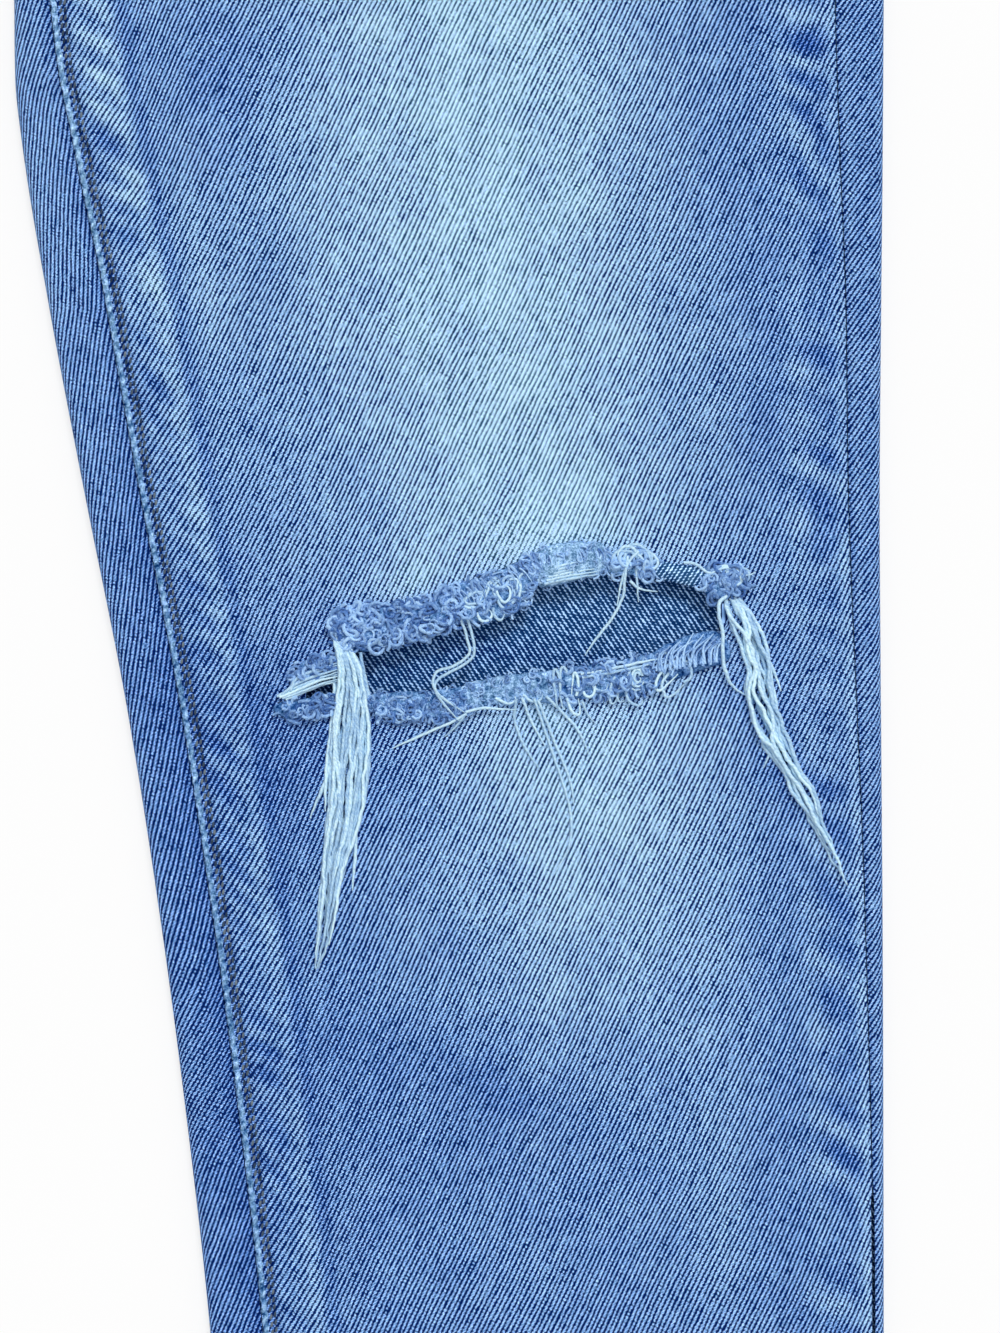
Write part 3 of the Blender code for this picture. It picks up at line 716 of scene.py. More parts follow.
# %% Tables of the creases
Crease = namedtuple("Crease", "x y end_x end_y reach height")
THIGH_CREASES = [Crease(*row) for row in (
    (4, 236, 74, 262, 5, 0.9),
    (8, 222, 92, 232, 6, -0.5),
    (20, 204, 104, 188, 7, 0.9),
    (26, 180, 96, 150, 6, 0.6),
    (196, 330, 132, 300, 8, 0.7),
    (190, 300, 120, 276, 6, -0.4),
    (34, 330, 60, 268, 6, 0.5),
    (60, 120, 92, 20, 12, 0.6),
    (160, 150, 176, 30, 14, 0.5),
    (150, -360, 128, -470, 12, 0.5),
    (98, -330, 112, -440, 9, -0.4),
    (186, -400, 174, -478, 8, 0.4),
)]
KNEE_CREASES = [Crease(*row) for row in (
    (111, -66, 134, -101, 3.6, 0.55),
    (130, -92, 135.5, -103, 2.4, 0.9),
    (124, -62, 141, -98, 4.5, -0.25),
    (52, -142, 74, -138, 2.2, -0.7),
    (56, -136, 76, -134, 3, 0.35),
    (187, -112, 202, -104, 2.6, 0.4),
    (44, 18, 62, -12, 6, 0.5),
    (56, 34, 80, -6, 7, -0.4),
    (190, -118, 206, -178, 7, 0.3),
    (72, -150, 76, -214, 8, -0.35),
    (104, -146, 92, -196, 9, 0.3),
)]
PLAIN_CREASES = [
    Crease(60, -84, 120, -92, 5, 0.7),
    Crease(184, -96, 124, -108, 6, 0.6),
    Crease(70, -122, 140, -116, 5, -0.5),
    Crease(196, -132, 130, -140, 7, 0.6),
    Crease(58, 20, 88, -40, 8, 0.5),
]
BACK_CREASES = [Crease(*row) for row in (
    (50, -92, 150, -100, 5, 0.9),
    (196, -104, 96, -112, 5, 0.8),
    (56, -124, 140, -120, 5, 0.9),
    (190, -138, 112, -136, 6, 0.8),
    (20, 196, 130, 176, 7, 1),
    (24, 172, 110, 146, 6, 0.8),
    (120, 40, 110, -40, 14, 0.7),
    (150, -220, 138, -380, 14, 0.6),
)]
front_creases = len(THIGH_CREASES) + len(KNEE_CREASES)
print("creases:", front_creases, "in the torn front,", len(BACK_CREASES), "behind")

# %% The wash and the creases over a panel
WHITE_TONE = 255
HALVING = 0.693  # leaves half of the pale band at its half width


def washed(table, patches, x, y):
    """The tone of the wash, with its patches, a few of which are painted shade, before the weave."""
    off_centre = x - smooth_line(table, "centre", y)
    offset = np.abs(off_centre) / smooth_line(table, "half", y)
    side_in = smooth_line(table, "inner", y)
    side_out = smooth_line(table, "outer", y)
    side = side_in + (side_out - side_in) * ease(-40, 40, off_centre)
    tone = side + (smooth_line(table, "middle", y) - side) * np.exp(-HALVING * offset**2.4)
    for patch in patches:
        lean = math.radians(patch.lean)
        a = (x - patch.x) * math.cos(lean) + (y - patch.y) * math.sin(lean)
        b = (y - patch.y) * math.cos(lean) - (x - patch.x) * math.sin(lean)
        tone = tone + patch.tone * np.exp(-((a / patch.wide) ** 2) - (b / patch.tall) ** 2)
    return tone


def creased(creases, x, y):
    """The height that soft ridges and troughs add. Each starts and ends in nothing."""
    height = np.zeros(np.broadcast(x, y).shape)
    for crease in creases:
        run = np.array([crease.end_x - crease.x, crease.end_y - crease.y])
        length = np.hypot(*run)
        t = ((x - crease.x) * run[0] + (y - crease.y) * run[1]) / length**2
        off = ((x - crease.x) * run[1] - (y - crease.y) * run[0]) / length
        bend = crease.reach * 0.5 * np.sin(t * 4.2 + crease.x)
        ends = ease(0, 0.35, t) * ease(0, 0.45, 1 - t)
        height = height + crease.height * hump(off, bend, crease.reach) * ends
    return height


def hem_rub(y):
    """The paler tone of the hem's folded lower edge."""
    return 22 * (1 - ease(HEM, HEM + 4, y))


middle_tone = washed(FRONT_WASH, PLAIN_PATCHES, np.array([120.0]), np.array([0.0]))
print(f"tone above the plain knee: {middle_tone[0]:.0f} of {WHITE_TONE}")

# %% [markdown]
# ## The rip
#
# The tear runs straight across the left knee, because there the white weft yarns hold longer than
# the blue warp. Its outline is a table of its lower and upper edge, made a little ragged. Cutting
# it with a Boolean would leave long thin triangles, so the grid's own faces inside the outline are
# left out and the points beside them slide on to the edge.

# %% The rip's outline
Rip = namedtuple("Rip", "x lower upper")
RIP = [Rip(*row) for row in (
    (75.5, -137.5, -136.5),
    (80, -139.5, -134),
    (88, -139.5, -128),
    (101, -138, -124.3),
    (117.8, -137, -119.8),
    (128.8, -134.8, -118.8),
    (135.5, -134.4, -112.3),
    (142.5, -133.2, -109.8),
    (152.5, -131.6, -108.2),
    (168.3, -128.5, -109.3),
    (176, -125.5, -111),
    (182.5, -122.5, -113.8),
    (185, -119.5, -117),
)]


def rip_edges(x):
    """Y of the rip's lower and upper edge."""
    ragged = 0.45 * np.sin(x * 1.9) * np.sin(x * 0.57 + 1.0)
    return smooth_line(RIP, "lower", x) + ragged, smooth_line(RIP, "upper", x) + ragged


def faces_outside(inside):
    """Which faces of a grid have a corner outside."""
    return ~(inside[:-1, :-1] & inside[:-1, 1:] & inside[1:, 1:] & inside[1:, :-1])


def cut_rip(points):
    """Which faces stay round the rip. The points beside it slide up or down to its edge."""
    x = points[..., 0]
    y = points[..., 1]
    lower, upper = rip_edges(x)
    inside = (x > RIP[0].x) & (x < RIP[-1].x) & (y > lower) & (y < upper)
    nearest = np.where(y - lower < upper - y, lower, upper)
    points[..., 1] = np.where(inside, nearest, y)
    return faces_outside(inside)


lower, upper = rip_edges(np.array([130.0]))
print(f"the rip is {upper[0] - lower[0]:.0f} mm open in its middle")

# %% [markdown]
# ## How high and how pale a front panel is
#
# A front panel is lifted along both of its seams, where the seam allowances lie under it. The
# inseam's allowance was sewn down, and shrinking has drawn it into slanted ropes that the wash
# has rubbed pale. A displaced texture could do that too, but the ropes have to show in the mesh,
# so waves along the seam lift the grid, and a table of single ropes makes them uneven.

# %% Ropes along the seams
Rope = namedtuple("Rope", "y inset reach tone")
INSEAM_ROPES = [Rope(*row) for row in (
    (28, 8, 9, 15),
    (13, 9, 8, 17),
    (-1, 8, 4.5, -25),
    (-12, 11, 5, 14),
    (-24, 9, 5, -17),
    (-36, 11, 7, 16),
    (-64, 8, 5, -17),
    (-113, 9, 5, -22),
    (-150, 8, 5, -14),
    (-182, 7, 5, -17),
    (-230, 9, 5, -17),
    (-252, 9, 5, -14),
)]
SIDE_ROPES = [Rope(*row) for row in (
    (25, 6, 4.5, -20),
    (9, 6, 4, -16),
    (-4, 6, 4, -14),
    (-27, 5, 4.5, -18),
    (-56, 6, 5, -18),
    (-80, 5, 4.5, -16),
    (-95, 11, 4.5, 16),
    (-103, 7, 4.5, -26),
    (-166, 8, 4.5, -15),
    (-196, 6, 4.5, -10),
    (-255, 7, 4, -12),
    (-275, 8, 5.5, -12),
)]
Waves = namedtuple("Waves", "pitch slant layer")
INSEAM_WAVES = Waves(9.5, 0.8, 1.0)
SIDE_WAVES = Waves(13.5, -0.6, 2.0)


def roping(y, inset, waves):
    """Slanted waves along a seam, uneven in pitch, from -1 to 1."""
    drift = patchy(y * np.ones_like(inset), inset, 26, waves.layer) * 1.7
    return np.sin(math.tau * (y + waves.slant * inset) / waves.pitch + drift * 2)


def inseam_shown(y):
    """1 where the inseam lies on the front, and 0 above the place where it has gone under."""
    return 1 - ease(150, 200, y)


def side_shown(y):
    """1 where the side seam is sewn down, and 0 above, in the pocket."""
    return 1 - ease(345, 385, y)


print(len(INSEAM_ROPES), "single ropes along the inseam,", len(SIDE_ROPES), "along the side seam")

# %% Height of a front panel
def front_relief(x, y, inner, outer, torn):
    """Height over the flat panel, with the distances in from the inseam and the side seam."""
    band = ease(3.2, 5.2, inner) * (1 - ease(14.5, 17.5, inner))
    side = 1 - ease(10.5, 14.5, outer)
    height = inseam_shown(y) * (band * 0.60 - 0.40 * hump(inner, 3.0, 1.0))
    height = height + inseam_shown(y) * band * 0.20 * roping(y, inner, INSEAM_WAVES)
    height = height + side_shown(y) * (side * 0.42 - 0.55 * hump(outer, 0.0, 0.8))
    height = height + side_shown(y) * side * 0.13 * roping(y, outer, SIDE_WAVES) * ease(1, 4, outer)
    hem = 1 - ease(HEM_TOP - 2, HEM_TOP + 2, y)
    height = height + hem * 0.16 * np.sin(math.tau * (x + 0.7 * y) / 8.5)
    open_cloth = ease(8, 26, inner) * ease(6, 22, outer)
    height = height + 0.35 * patchy(x, y, 46, 3.0 + torn) * open_cloth
    height = height + creased(THIGH_CREASES, x, y)
    height = height + creased(KNEE_CREASES if torn else PLAIN_CREASES, x, y)
    if torn:
        lower, upper = rip_edges(x)
        window = ease(72, 90, x) * (1 - ease(176, 190, x))
        above = y > (lower + upper) / 2
        height = height + window * 0.7 * hump(np.maximum(y - upper, 0), 0, 6) * above
        height = height + window * 0.4 * hump(np.maximum(lower - y, 0), 0, 5) * ~above
    return height


place = (np.array([value]) for value in (130.0, -100.0, 100.0, 90.0))
print(f"above the rip the cloth stands {front_relief(*place, True)[0]:.1f} mm proud")

# %% Tone of a front panel
def front_tone(x, y, inner, outer, torn):
    """The wash with what the seams do to it: rubbed edges and ropes, and painted shade beside them."""
    tone = washed(FRONT_WASH, KNEE_PATCHES if torn else PLAIN_PATCHES, x, y)
    inner_share = inseam_shown(y)
    outer_share = side_shown(y)
    inner_band = 1 - ease(16, 18.5, inner)
    uneven = 0.55 + 0.9 * patchy(x, y, 24, 15.0) + 0.4 * ease(-40, 20, y)
    ropes = 15 * roping(y, inner, INSEAM_WAVES) * hump(inner, 8, 6) * uneven
    tone = tone + inner_share * inner_band * (16 * hump(inner, 13.9, 3.0) + ropes)
    # Painted shade: darker in the groove at the inseam's stitches and along the foot of the raised seam
    # allowance.
    tone = tone - inner_share * (18 * hump(inner, 17.8, 1.8) + 25 * hump(inner, 2.6, 1.5))
    ropes = 17 * roping(y, outer, SIDE_WAVES) * hump(outer, 8, 6) * (uneven + 0.3)
    folded = (14 + 9 * ease(-60, -200, y)) * hump(outer, 1.2, 1.7)
    allowance = 10 * hump(outer, 12.8, 2.4) + 3 * hump(outer, 7.5, 2) - 3 * hump(outer, 20, 5)
    tone = tone + outer_share * (ropes + folded + allowance)
    for rope in INSEAM_ROPES:
        tone = tone + rope.tone * hump(y, rope.y, rope.reach) * hump(inner, rope.inset, 4.5)
    for rope in SIDE_ROPES:
        tone = tone + rope.tone * hump(y, rope.y, rope.reach) * hump(outer, rope.inset, 3.5)
    tone = tone + hem_rub(y) + 7 * hump(y, HEM_TOP + 2, 3)
    return (tone + 5 * patchy(x, y, 11, 5.0 + torn)) / WHITE_TONE


print(f"the hem's edge is {hem_rub(HEM):.0f} paler")

# %% [markdown]
# ## The front panels
#
# A panel needs fine columns at its seams, where the ropes are, and coarse ones between, so three
# grids are joined side by side: one measured in from each seam and one between them. The cloth
# beside the inseam is pulled, so that the twill leans over there. The pocket's mouth is cut out of
# the grid in the same way as the rip.

# %% The front panels' grids
MOUTH_X = 212.0
MOUTH_Y = 462.0
MOUTH_REACH = 106.0
MOUTH_DROP = 68.0
TORN_ROWS = spaced((HEM, 4.5), (-310, 1.1), (48, 4.5), (380, 2.5), WAIST - GAP)
PLAIN_ROWS = spaced((HEM, 4.5), (-310, 2.4), (48, 4.5), (380, 2.5), WAIST - GAP)
SEAM_INSETS = np.array([0, 0.5, 1.1, 1.8, 2.4, 2.9, 3.4, 4.1, *range(5, 18), 18.5, 20.5])
SIDE_INSETS = np.array([0, 0.35, 0.8, 1.4, 2.2, 3.2, 4.4, 5.8, 7.2, 8.6, 10, 11.4, 12.8, 14.4, 16.4])
MIDDLE_COLUMNS = 58


def front_place(edge, y, inset, torn):
    """Points of a front panel's upper face at distances in from one of its seams."""
    along, gap = seam_along(edge, y)
    x, z = round_leg(edge, y, along + gap + inset)
    inseam = round_leg("inner", y, seam_along("inner", y)[0])[0]
    side = round_leg("outer", y, seam_along("outer", y)[0])[0]
    inner = inset if edge == "inner" else x - inseam
    outer = inset if edge == "outer" else side - x
    z = z + front_relief(x, y, inner, outer, torn)
    return x, dipped(x, y, FRONT_DIP), z, inner, outer


def cut_mouth(points):
    """Which faces stay round the pocket's mouth. The points inside it slide out to its edge."""
    x, y = points[..., 0].copy(), points[..., 1].copy()
    reach = np.hypot((MOUTH_X - x) / MOUTH_REACH, (MOUTH_Y - y) / MOUTH_DROP)
    inside = (reach < 1) | ((x > MOUTH_X) & (y > MOUTH_Y - MOUTH_DROP))
    scale = 1 / np.maximum(reach, 0.05)
    points[..., 0] = np.where(inside, np.minimum(MOUTH_X - (MOUTH_X - x) * scale, x), x)
    points[..., 1] = np.where(inside, MOUTH_Y - (MOUTH_Y - y) * scale, y)
    return faces_outside(inside)


def front_panel(side):
    """The left front, torn, for a side of 1, and the whole right one for -1."""
    torn = side > 0
    y = (TORN_ROWS if torn else PLAIN_ROWS)[:, None]
    inner_block = front_place("inner", y, SEAM_INSETS * np.ones_like(y), torn)
    outer_block = front_place("outer", y, SIDE_INSETS[::-1] * np.ones_like(y), torn)
    start = inner_block[0][:, -1:]
    end = outer_block[0][:, :1]
    across = start + (end - start) * np.arange(1, MIDDLE_COLUMNS) / MIDDLE_COLUMNS
    middle_block = front_place("outer", y, seam_x("outer", y) - across, torn)
    blocks = zip(inner_block, middle_block, outer_block)
    x, dipped_y, z, inner, outer = (np.hstack(parts) for parts in blocks)
    points = joined(x, dipped_y, z)
    keep = cut_mouth(points)
    if torn:
        keep &= cut_rip(points)
    tone = front_tone(x, y, inner, outer, torn)
    pull = 0.37 * np.minimum(inner, 15.5) * inseam_shown(y)
    sway = 2.0 * (1 - np.tanh((inner - 24) / 8)) * ease(-30, 30, y) * (1 - ease(60, 140, y))
    drift = 0.45 * patchy(x, y, 34, 8.0 + torn)
    points[..., 0] *= side
    weave = joined(points[..., 0] + drift, y + pull + sway - drift)
    thick = np.broadcast_to(y < HEM_TOP, x.shape)
    name = "denim_front_left" if torn else "denim_front_right"
    return shell(name, points, weave, tone, flip=side < 0, keep=keep, thick=thick)


front_left = front_panel(1)
front_right = front_panel(-1)

# %% [markdown]
# ## The back panels and the yokes
#
# A back panel starts at the inseam on top of the leg, goes round the inner fold, under the leg and
# round the outer fold to the side seam. It could be two flat sheets, but then the folds would be
# sharp, so it is one grid whose columns follow the way round. Its edge dips under the front's.
# The yoke carries the same grid on from the seat up to the waistband.

# %% The back's grain and tone
BACK_LEAN = math.radians(8.2)  # how far the back is cut off its grain
KNEE_PULL = math.radians(5.0)  # how far its twill leans over beside the inseam, at the knee
THIGH_PULL = math.radians(9.0)  # and further up
PULL_REACH = 34.0


def folded_over(edge, y, along):
    """Where cloth past a folded edge would lie if it were unfolded to the leg's underside."""
    slope = (smooth_line(OUTLINE, edge, y + 1) - smooth_line(OUTLINE, edge, y - 1)) / 2
    turn = 2 * np.arctan(slope)
    outward = -1 if edge == "inner" else 1
    over = np.maximum(along, 0)
    reach = QUARTER - FOLD_REACH + np.minimum(along, 0) + over * np.cos(turn)
    return smooth_line(OUTLINE, edge, y) + outward * reach, y - outward * over * np.sin(turn)


def back_weave(y, inner_along, under_x, outer_along, way):
    """Where each place was in the flat cloth, which was cut on a lean and is pulled at the inseam."""
    inner_x, inner_y = folded_over("inner", y, inner_along)
    outer_x, outer_y = folded_over("outer", y, outer_along)
    across = np.hstack([inner_x, under_x, outer_x])
    up = np.hstack([inner_y, y * np.ones_like(under_x), outer_y])
    pulled = KNEE_PULL * (y + 100) * ease(-260, -200, y) + THIGH_PULL * np.clip(y + 42, 0, 90)
    across = across - pulled * inseam_shown(y) * hump(way, 0, PULL_REACH)
    turned = across * math.cos(BACK_LEAN) + up * math.sin(BACK_LEAN)
    return turned, up * math.cos(BACK_LEAN) - across * math.sin(BACK_LEAN)


def back_tone(x, y, way, left, top):
    """The wash on the back, and on top of the leg its tones and painted shade along its two seams."""
    tone = washed(BACK_WASH, BACK_PATCHES, x, y)
    # Painted shade: darker where the strip tucks under the inseam's roll, and in the hairline at the side
    # seam.
    inner_tone = 86 + 20 * ease(-160, 20, y) + 7 * ease(5, 13, way) - 12 * hump(way, 0, 2.6)
    outer_tone = 100 + 7 * hump(left, 1.7, 1.2) - 12 * hump(left, 0, 0.8)
    return tone + top * (np.where(way < left, inner_tone, outer_tone) - tone)


print(f"the back's grain leans by {math.degrees(BACK_LEAN):.1f} degrees")

# %% Back of the legs and seat
WRAP_COLUMNS = 26
UNDER_COLUMNS = 44
WRAP_PAST = 4.0  # how far under the leg the columns that go round a fold reach


def back_piece(name, rows, side, paler, thick=None):
    """A back panel or a yoke, from the inseam round the leg to the side seam."""
    y = rows[:, None]
    inner_edge, inner_gap = seam_along("inner", y)
    outer_edge, outer_gap = seam_along("outer", y)
    turn = np.linspace(0, 1, WRAP_COLUMNS)[None, :]
    inner_along = (inner_edge - inner_gap) * (1 - turn) - (QUARTER + WRAP_PAST) * turn
    outer_along = (outer_edge - outer_gap) * turn - (QUARTER + WRAP_PAST) * (1 - turn)
    inner_x, inner_z = round_leg("inner", y, inner_along)
    outer_x, outer_z = round_leg("outer", y, outer_along)
    share = np.arange(1, UNDER_COLUMNS)[None, :] / UNDER_COLUMNS
    under_x = inner_x[:, -1:] + (outer_x[:, :1] - inner_x[:, -1:]) * share
    level = smooth_line(LEVELS, "under", y)
    x = np.hstack([inner_x, under_x, outer_x])
    z = np.hstack([inner_z, level * np.ones_like(under_x), outer_z])
    step = np.hypot(np.diff(x, axis=1, prepend=x[:, :1]), np.diff(z, axis=1, prepend=z[:, :1]))
    way = np.cumsum(step, axis=1)
    left = way[:, -1:] - way
    top = ease(0.4, 2.2, z - level)
    inner_share = inseam_shown(y)
    outer_share = 1 - ease(400, 440, y)
    z = z - inner_share * hump(way, 0, 1.6) - outer_share * 0.5 * hump(left, 0, 0.8)
    z = z + top * 0.12 * patchy(x, y, 14, 11.0 + side)
    lift = np.maximum(creased(BACK_CREASES, x, y) + 0.25 * patchy(x, y, 50, 12.0 + side), 0)
    z = z + (1 - top) * lift * (0.4 + 0.6 * inner_share)
    tone = back_tone(x, y, way, left, top) + hem_rub(y) + paler
    tone = (tone + 5 * patchy(x, y, 12, 14.0 + side)) / WHITE_TONE
    across, up = back_weave(y, inner_along, under_x, outer_along, way)
    points = joined(x * side, dipped(x, y, BACK_DIP), z)
    weave = joined(-across * side, up)
    return shell(name, points, weave, tone, flip=side > 0, thick=thick)


BACK_ROWS = spaced((HEM, 5.0), (-310, 2.2), (48, 5.0), YOKE_SEAM - GAP)
YOKE_ROWS = spaced((YOKE_SEAM + GAP / 2, 2.5), WAIST - GAP)
BACK_COLUMNS = 2 * WRAP_COLUMNS + UNDER_COLUMNS - 1
BACK_HEM = np.broadcast_to(BACK_ROWS[:, None] < HEM_TOP, (len(BACK_ROWS), BACK_COLUMNS))
SIDES = {"left": 1, "right": -1}
backs = []
yokes = []
for word, side in SIDES.items():
    backs.append(back_piece("denim_back_" + word, BACK_ROWS, side, 0, BACK_HEM))
    yokes.append(back_piece("denim_yoke_" + word, YOKE_ROWS, side, 4))

# %% [markdown]
# ## Small pieces at the top
#
# The pockets, fly, waistband and belt loops are flat or gently bent strips. Each has its own grid
# between two edges, worked out from the same sizes as the panels that it is sewn to.

# %% Flat pieces
def between(left, right, columns):
    """X across rows from their left to their right edges."""
    share = np.linspace(0, 1, columns)[None, :]
    return left[:, None] + (right - left)[:, None] * share


def rubbed(distance, reach=2.2):
    """The paler tone of a sewn edge that stands proud, by distance from it."""
    return 20 * np.exp(-((distance / reach) ** 2))


def flat_piece(name, x, y, z, tone, wall, side=1, faces_up=True):
    """A small piece whose weave runs straight up, mirrored for the side at -1."""
    points = joined(x * side, y, z)
    weave = joined(x * side, y)
    tone = (tone + 5 * patchy(x, y, 12, 21.0)) / WHITE_TONE
    return shell(name, points, weave, tone, wall=wall, flip=(side > 0) != faces_up)


print("the edge's own tone is", rubbed(0.0), "paler")

# %% Pocket facings and back pockets
FACING_LAP = 8.0  # how far a facing reaches in under the front, past the mouth
POCKET_X = 95.0
POCKET_TOP = 388.0
POCKET_HALF_TOP = 69.0
POCKET_HALF_FOOT = 60.0
POCKET_CORNER = 262.0
POCKET_TIP = 240.0
POCKET_WALL = 1.2


def pocket_facing(word, side):
    """The cloth seen inside a front pocket's mouth."""
    rows = spaced((MOUTH_Y - MOUTH_DROP + 2.0, 3.0), WAIST - 2 * GAP)
    reach = MOUTH_REACH + FACING_LAP
    drop = MOUTH_DROP + FACING_LAP
    right = seam_x("outer", rows) - 2 * GAP
    level = np.clip((MOUTH_Y - rows) / drop, 0, 1)
    left = np.minimum(MOUTH_X - reach * np.sqrt(1 - level**2), right - 6)
    x = between(left, right, 24)
    y = dipped(x, rows[:, None], FRONT_DIP)
    z = SEAT_TOP - WALL - GAP - 0.35 * hump(x, 150, 30) * hump(y, 430, 18)
    tone = 88 + 8 * ease(150, 185, x)
    return flat_piece("denim_pocket_facing_" + word, x, y, z, tone, 1.0, side)


def pocket_half_width(y):
    """A back pocket's half width, down to its pointed foot."""
    foot = POCKET_HALF_FOOT * np.clip((y - POCKET_TIP) / (POCKET_CORNER - POCKET_TIP), 0.012, 1)
    rise = np.clip((y - POCKET_CORNER) / (POCKET_TOP - POCKET_CORNER), 0, 1)
    return foot + (POCKET_HALF_TOP - POCKET_HALF_FOOT) * rise


def back_pocket(word, side):
    rows = spaced((POCKET_TIP, 1.1), (POCKET_CORNER, 4.0), POCKET_TOP)
    half = pocket_half_width(rows)
    x = between(POCKET_X - half, POCKET_X + half, 40)
    y = rows[:, None] * np.ones_like(x)
    edge = half[:, None] - np.abs(x - POCKET_X)
    tone = 108 + rubbed(edge) + rubbed(POCKET_TOP - y) + 12 * hump(x, POCKET_X, 38) * hump(y, 320, 46)
    return flat_piece("denim_back_pocket_" + word, x, y, 0.0, tone, POCKET_WALL, side, faces_up=False)


facings = [pocket_facing(word, side) for word, side in SIDES.items()]
pockets = [back_pocket(word, side) for word, side in SIDES.items()]

# %% Fly
FLY_EDGE = -5.0
FLY_WIDTH = 32.0
FLY_FOOT = 318.0
FLY_TURN = 34.0  # how high its curved foot is
FLY_WALL = 1.2
FLY_TOP = SEAT_TOP + GAP + FLY_WALL


def fly_piece():
    """The fly's cover. Its outer edge is a quarter of an ellipse at the foot, then straight up."""
    foot = np.linspace(0, 1, 16, endpoint=False) ** 2 * FLY_TURN + FLY_FOOT + 0.2
    rows = np.concatenate([foot, spaced((FLY_FOOT + FLY_TURN, 3.0), WAIST - WAIST_CURVE - GAP)])
    left = FLY_EDGE * np.clip((rows - FLY_FOOT) / (FLY_TURN / 2), 0, 1)
    turned = np.clip((rows - FLY_FOOT) / FLY_TURN, 0, 1)
    right = FLY_WIDTH * np.sqrt(1 - (1 - turned) ** 2)
    x = between(left, np.maximum(right, left + 1), 26)
    y = np.minimum(rows[:, None] * np.ones_like(x), waist_seam(x, -WAIST_CURVE) - 2 * GAP)
    edge = np.minimum(x - left[:, None], right[:, None] - x)
    z = FLY_TOP + 0.18 * np.sin(y * 0.16 + 0.1 * x) * ease(0, 6, edge) - 0.3 * hump(edge, 0, 0.7)
    return flat_piece("denim_fly", x, y, z, 112 + rubbed(edge), FLY_WALL)


fly = fly_piece()

# %% The waistband's line
BAND_HEIGHT = 38.0
BAND_WALL = 2.2
BAND_UNDER = 1.5
BAND_TOP = 7.2
BAND_MIDDLE = (BAND_TOP + BAND_UNDER) / 2
LAP_TOP = BAND_TOP + BAND_WALL + GAP
LAP_TIP = -14.0
LAP_FOOT = 34.0
LAP_HEAD = 12.5
TUCKED_END = 10.0


def band_line():
    """The band's outer face seen end on, from its right end round the back: X, Z and its foot's Y."""
    half = (BAND_TOP - BAND_UNDER) / 2
    flat = WAIST_HALF - half
    turn = np.linspace(0, math.pi, 12)[1:-1]
    front_x = spaced((TUCKED_END, 3.0), -flat)
    back_x = spaced((-flat, 4.0), flat)
    lap_x = spaced((flat, 3.0), LAP_TIP)
    lap_z = BAND_TOP + (LAP_TOP - BAND_TOP) * ease(0, 1, (LAP_FOOT - lap_x) / (LAP_FOOT - LAP_HEAD))
    fold_x = flat + half * np.sin(turn)
    fold_z = half * np.cos(turn)
    front_z = np.full(len(front_x), BAND_TOP)
    back_z = np.full(len(back_x), BAND_UNDER)
    x = np.concatenate([front_x, -fold_x, back_x, fold_x, lap_x])
    z = np.concatenate([front_z, BAND_MIDDLE + fold_z, back_z, BAND_MIDDLE - fold_z, lap_z])
    foot = waist_seam(x, np.where(z < BAND_MIDDLE, WAIST_CURVE, -WAIST_CURVE))
    return x, z, foot


band_x = band_line()[0]
print(f"waistband: {len(band_x)} places round it, out to {band_x.max():.0f} mm")

# %% Waistband with its buttonhole
BAND_RISES = [GAP, 0.9, 2, 3.2, 4.6, 8, 12, 16.2, 21.8, 26, 31, 33.4, 34.8, 36, 37.2, BAND_HEIGHT]
BUTTON_X = 1.0
BUTTON_Y = 466.0
BUTTONHOLE = 12.0
SHANK_RADIUS = 2.5


def waistband():
    """The folded band, puffed between its rows of stitches, with the buttonhole left open."""
    x, z, foot = band_line()
    rise = np.array(BAND_RISES)[:, None]
    px, py = np.broadcast_arrays(x, foot + rise)
    edge = np.minimum(rise, BAND_HEIGHT - rise)
    puff = 0.2 * ease(0, 3, edge) - 0.25 * hump(edge, 3.5, 1.0) - 0.25 * hump(edge, 0, 0.6)
    puff = puff + 0.1 * np.sin(math.tau * (px + 0.7 * py) / 7.5) * hump(edge, 2, 2.5)
    outward = np.where(z > BAND_MIDDLE, 1.0, -0.4)
    pz = z + (puff + 0.1 * patchy(px, py, 22, 31.0)) * outward
    tone = 106 + rubbed(edge) - 10 * hump(edge, 3.5, 1.0) + 5 * patchy(px, py, 9, 32.0)
    points = joined(px, py, pz)
    way = np.cumsum(np.hypot(np.diff(x, prepend=x[0]), np.diff(z, prepend=z[0])))
    weave = joined(-way, py)
    on_lap = np.arange(len(x)) > len(x) / 2
    in_hole = on_lap & (np.abs(x - BUTTON_X) < BUTTONHOLE / 2) & (z > BAND_TOP)
    in_hole = in_hole & (np.abs(py - BUTTON_Y) < SHANK_RADIUS + 0.5)
    keep = faces_outside(in_hole)
    return shell("denim_waistband", points, weave, tone / WHITE_TONE, wall=BAND_WALL, flip=True, keep=keep)


band = waistband()

# %% Belt loops
LOOP_WIDTH = 10.0
LOOP_WALL = 1.2
LOOP_TOP = BAND_TOP + GAP + LOOP_WALL
LOOP_LAP = 5.0
LOOP_SIDE = 88.0
LOOP_BACK = 126.0
LOOP_PLACES = {
    "front_left": (LOOP_SIDE, -WAIST_CURVE),
    "front_right": (-LOOP_SIDE, -WAIST_CURVE),
    "back_left": (LOOP_BACK, WAIST_CURVE),
    "back_right": (-LOOP_BACK, WAIST_CURVE),
    "centre": (0.0, WAIST_CURVE),
}


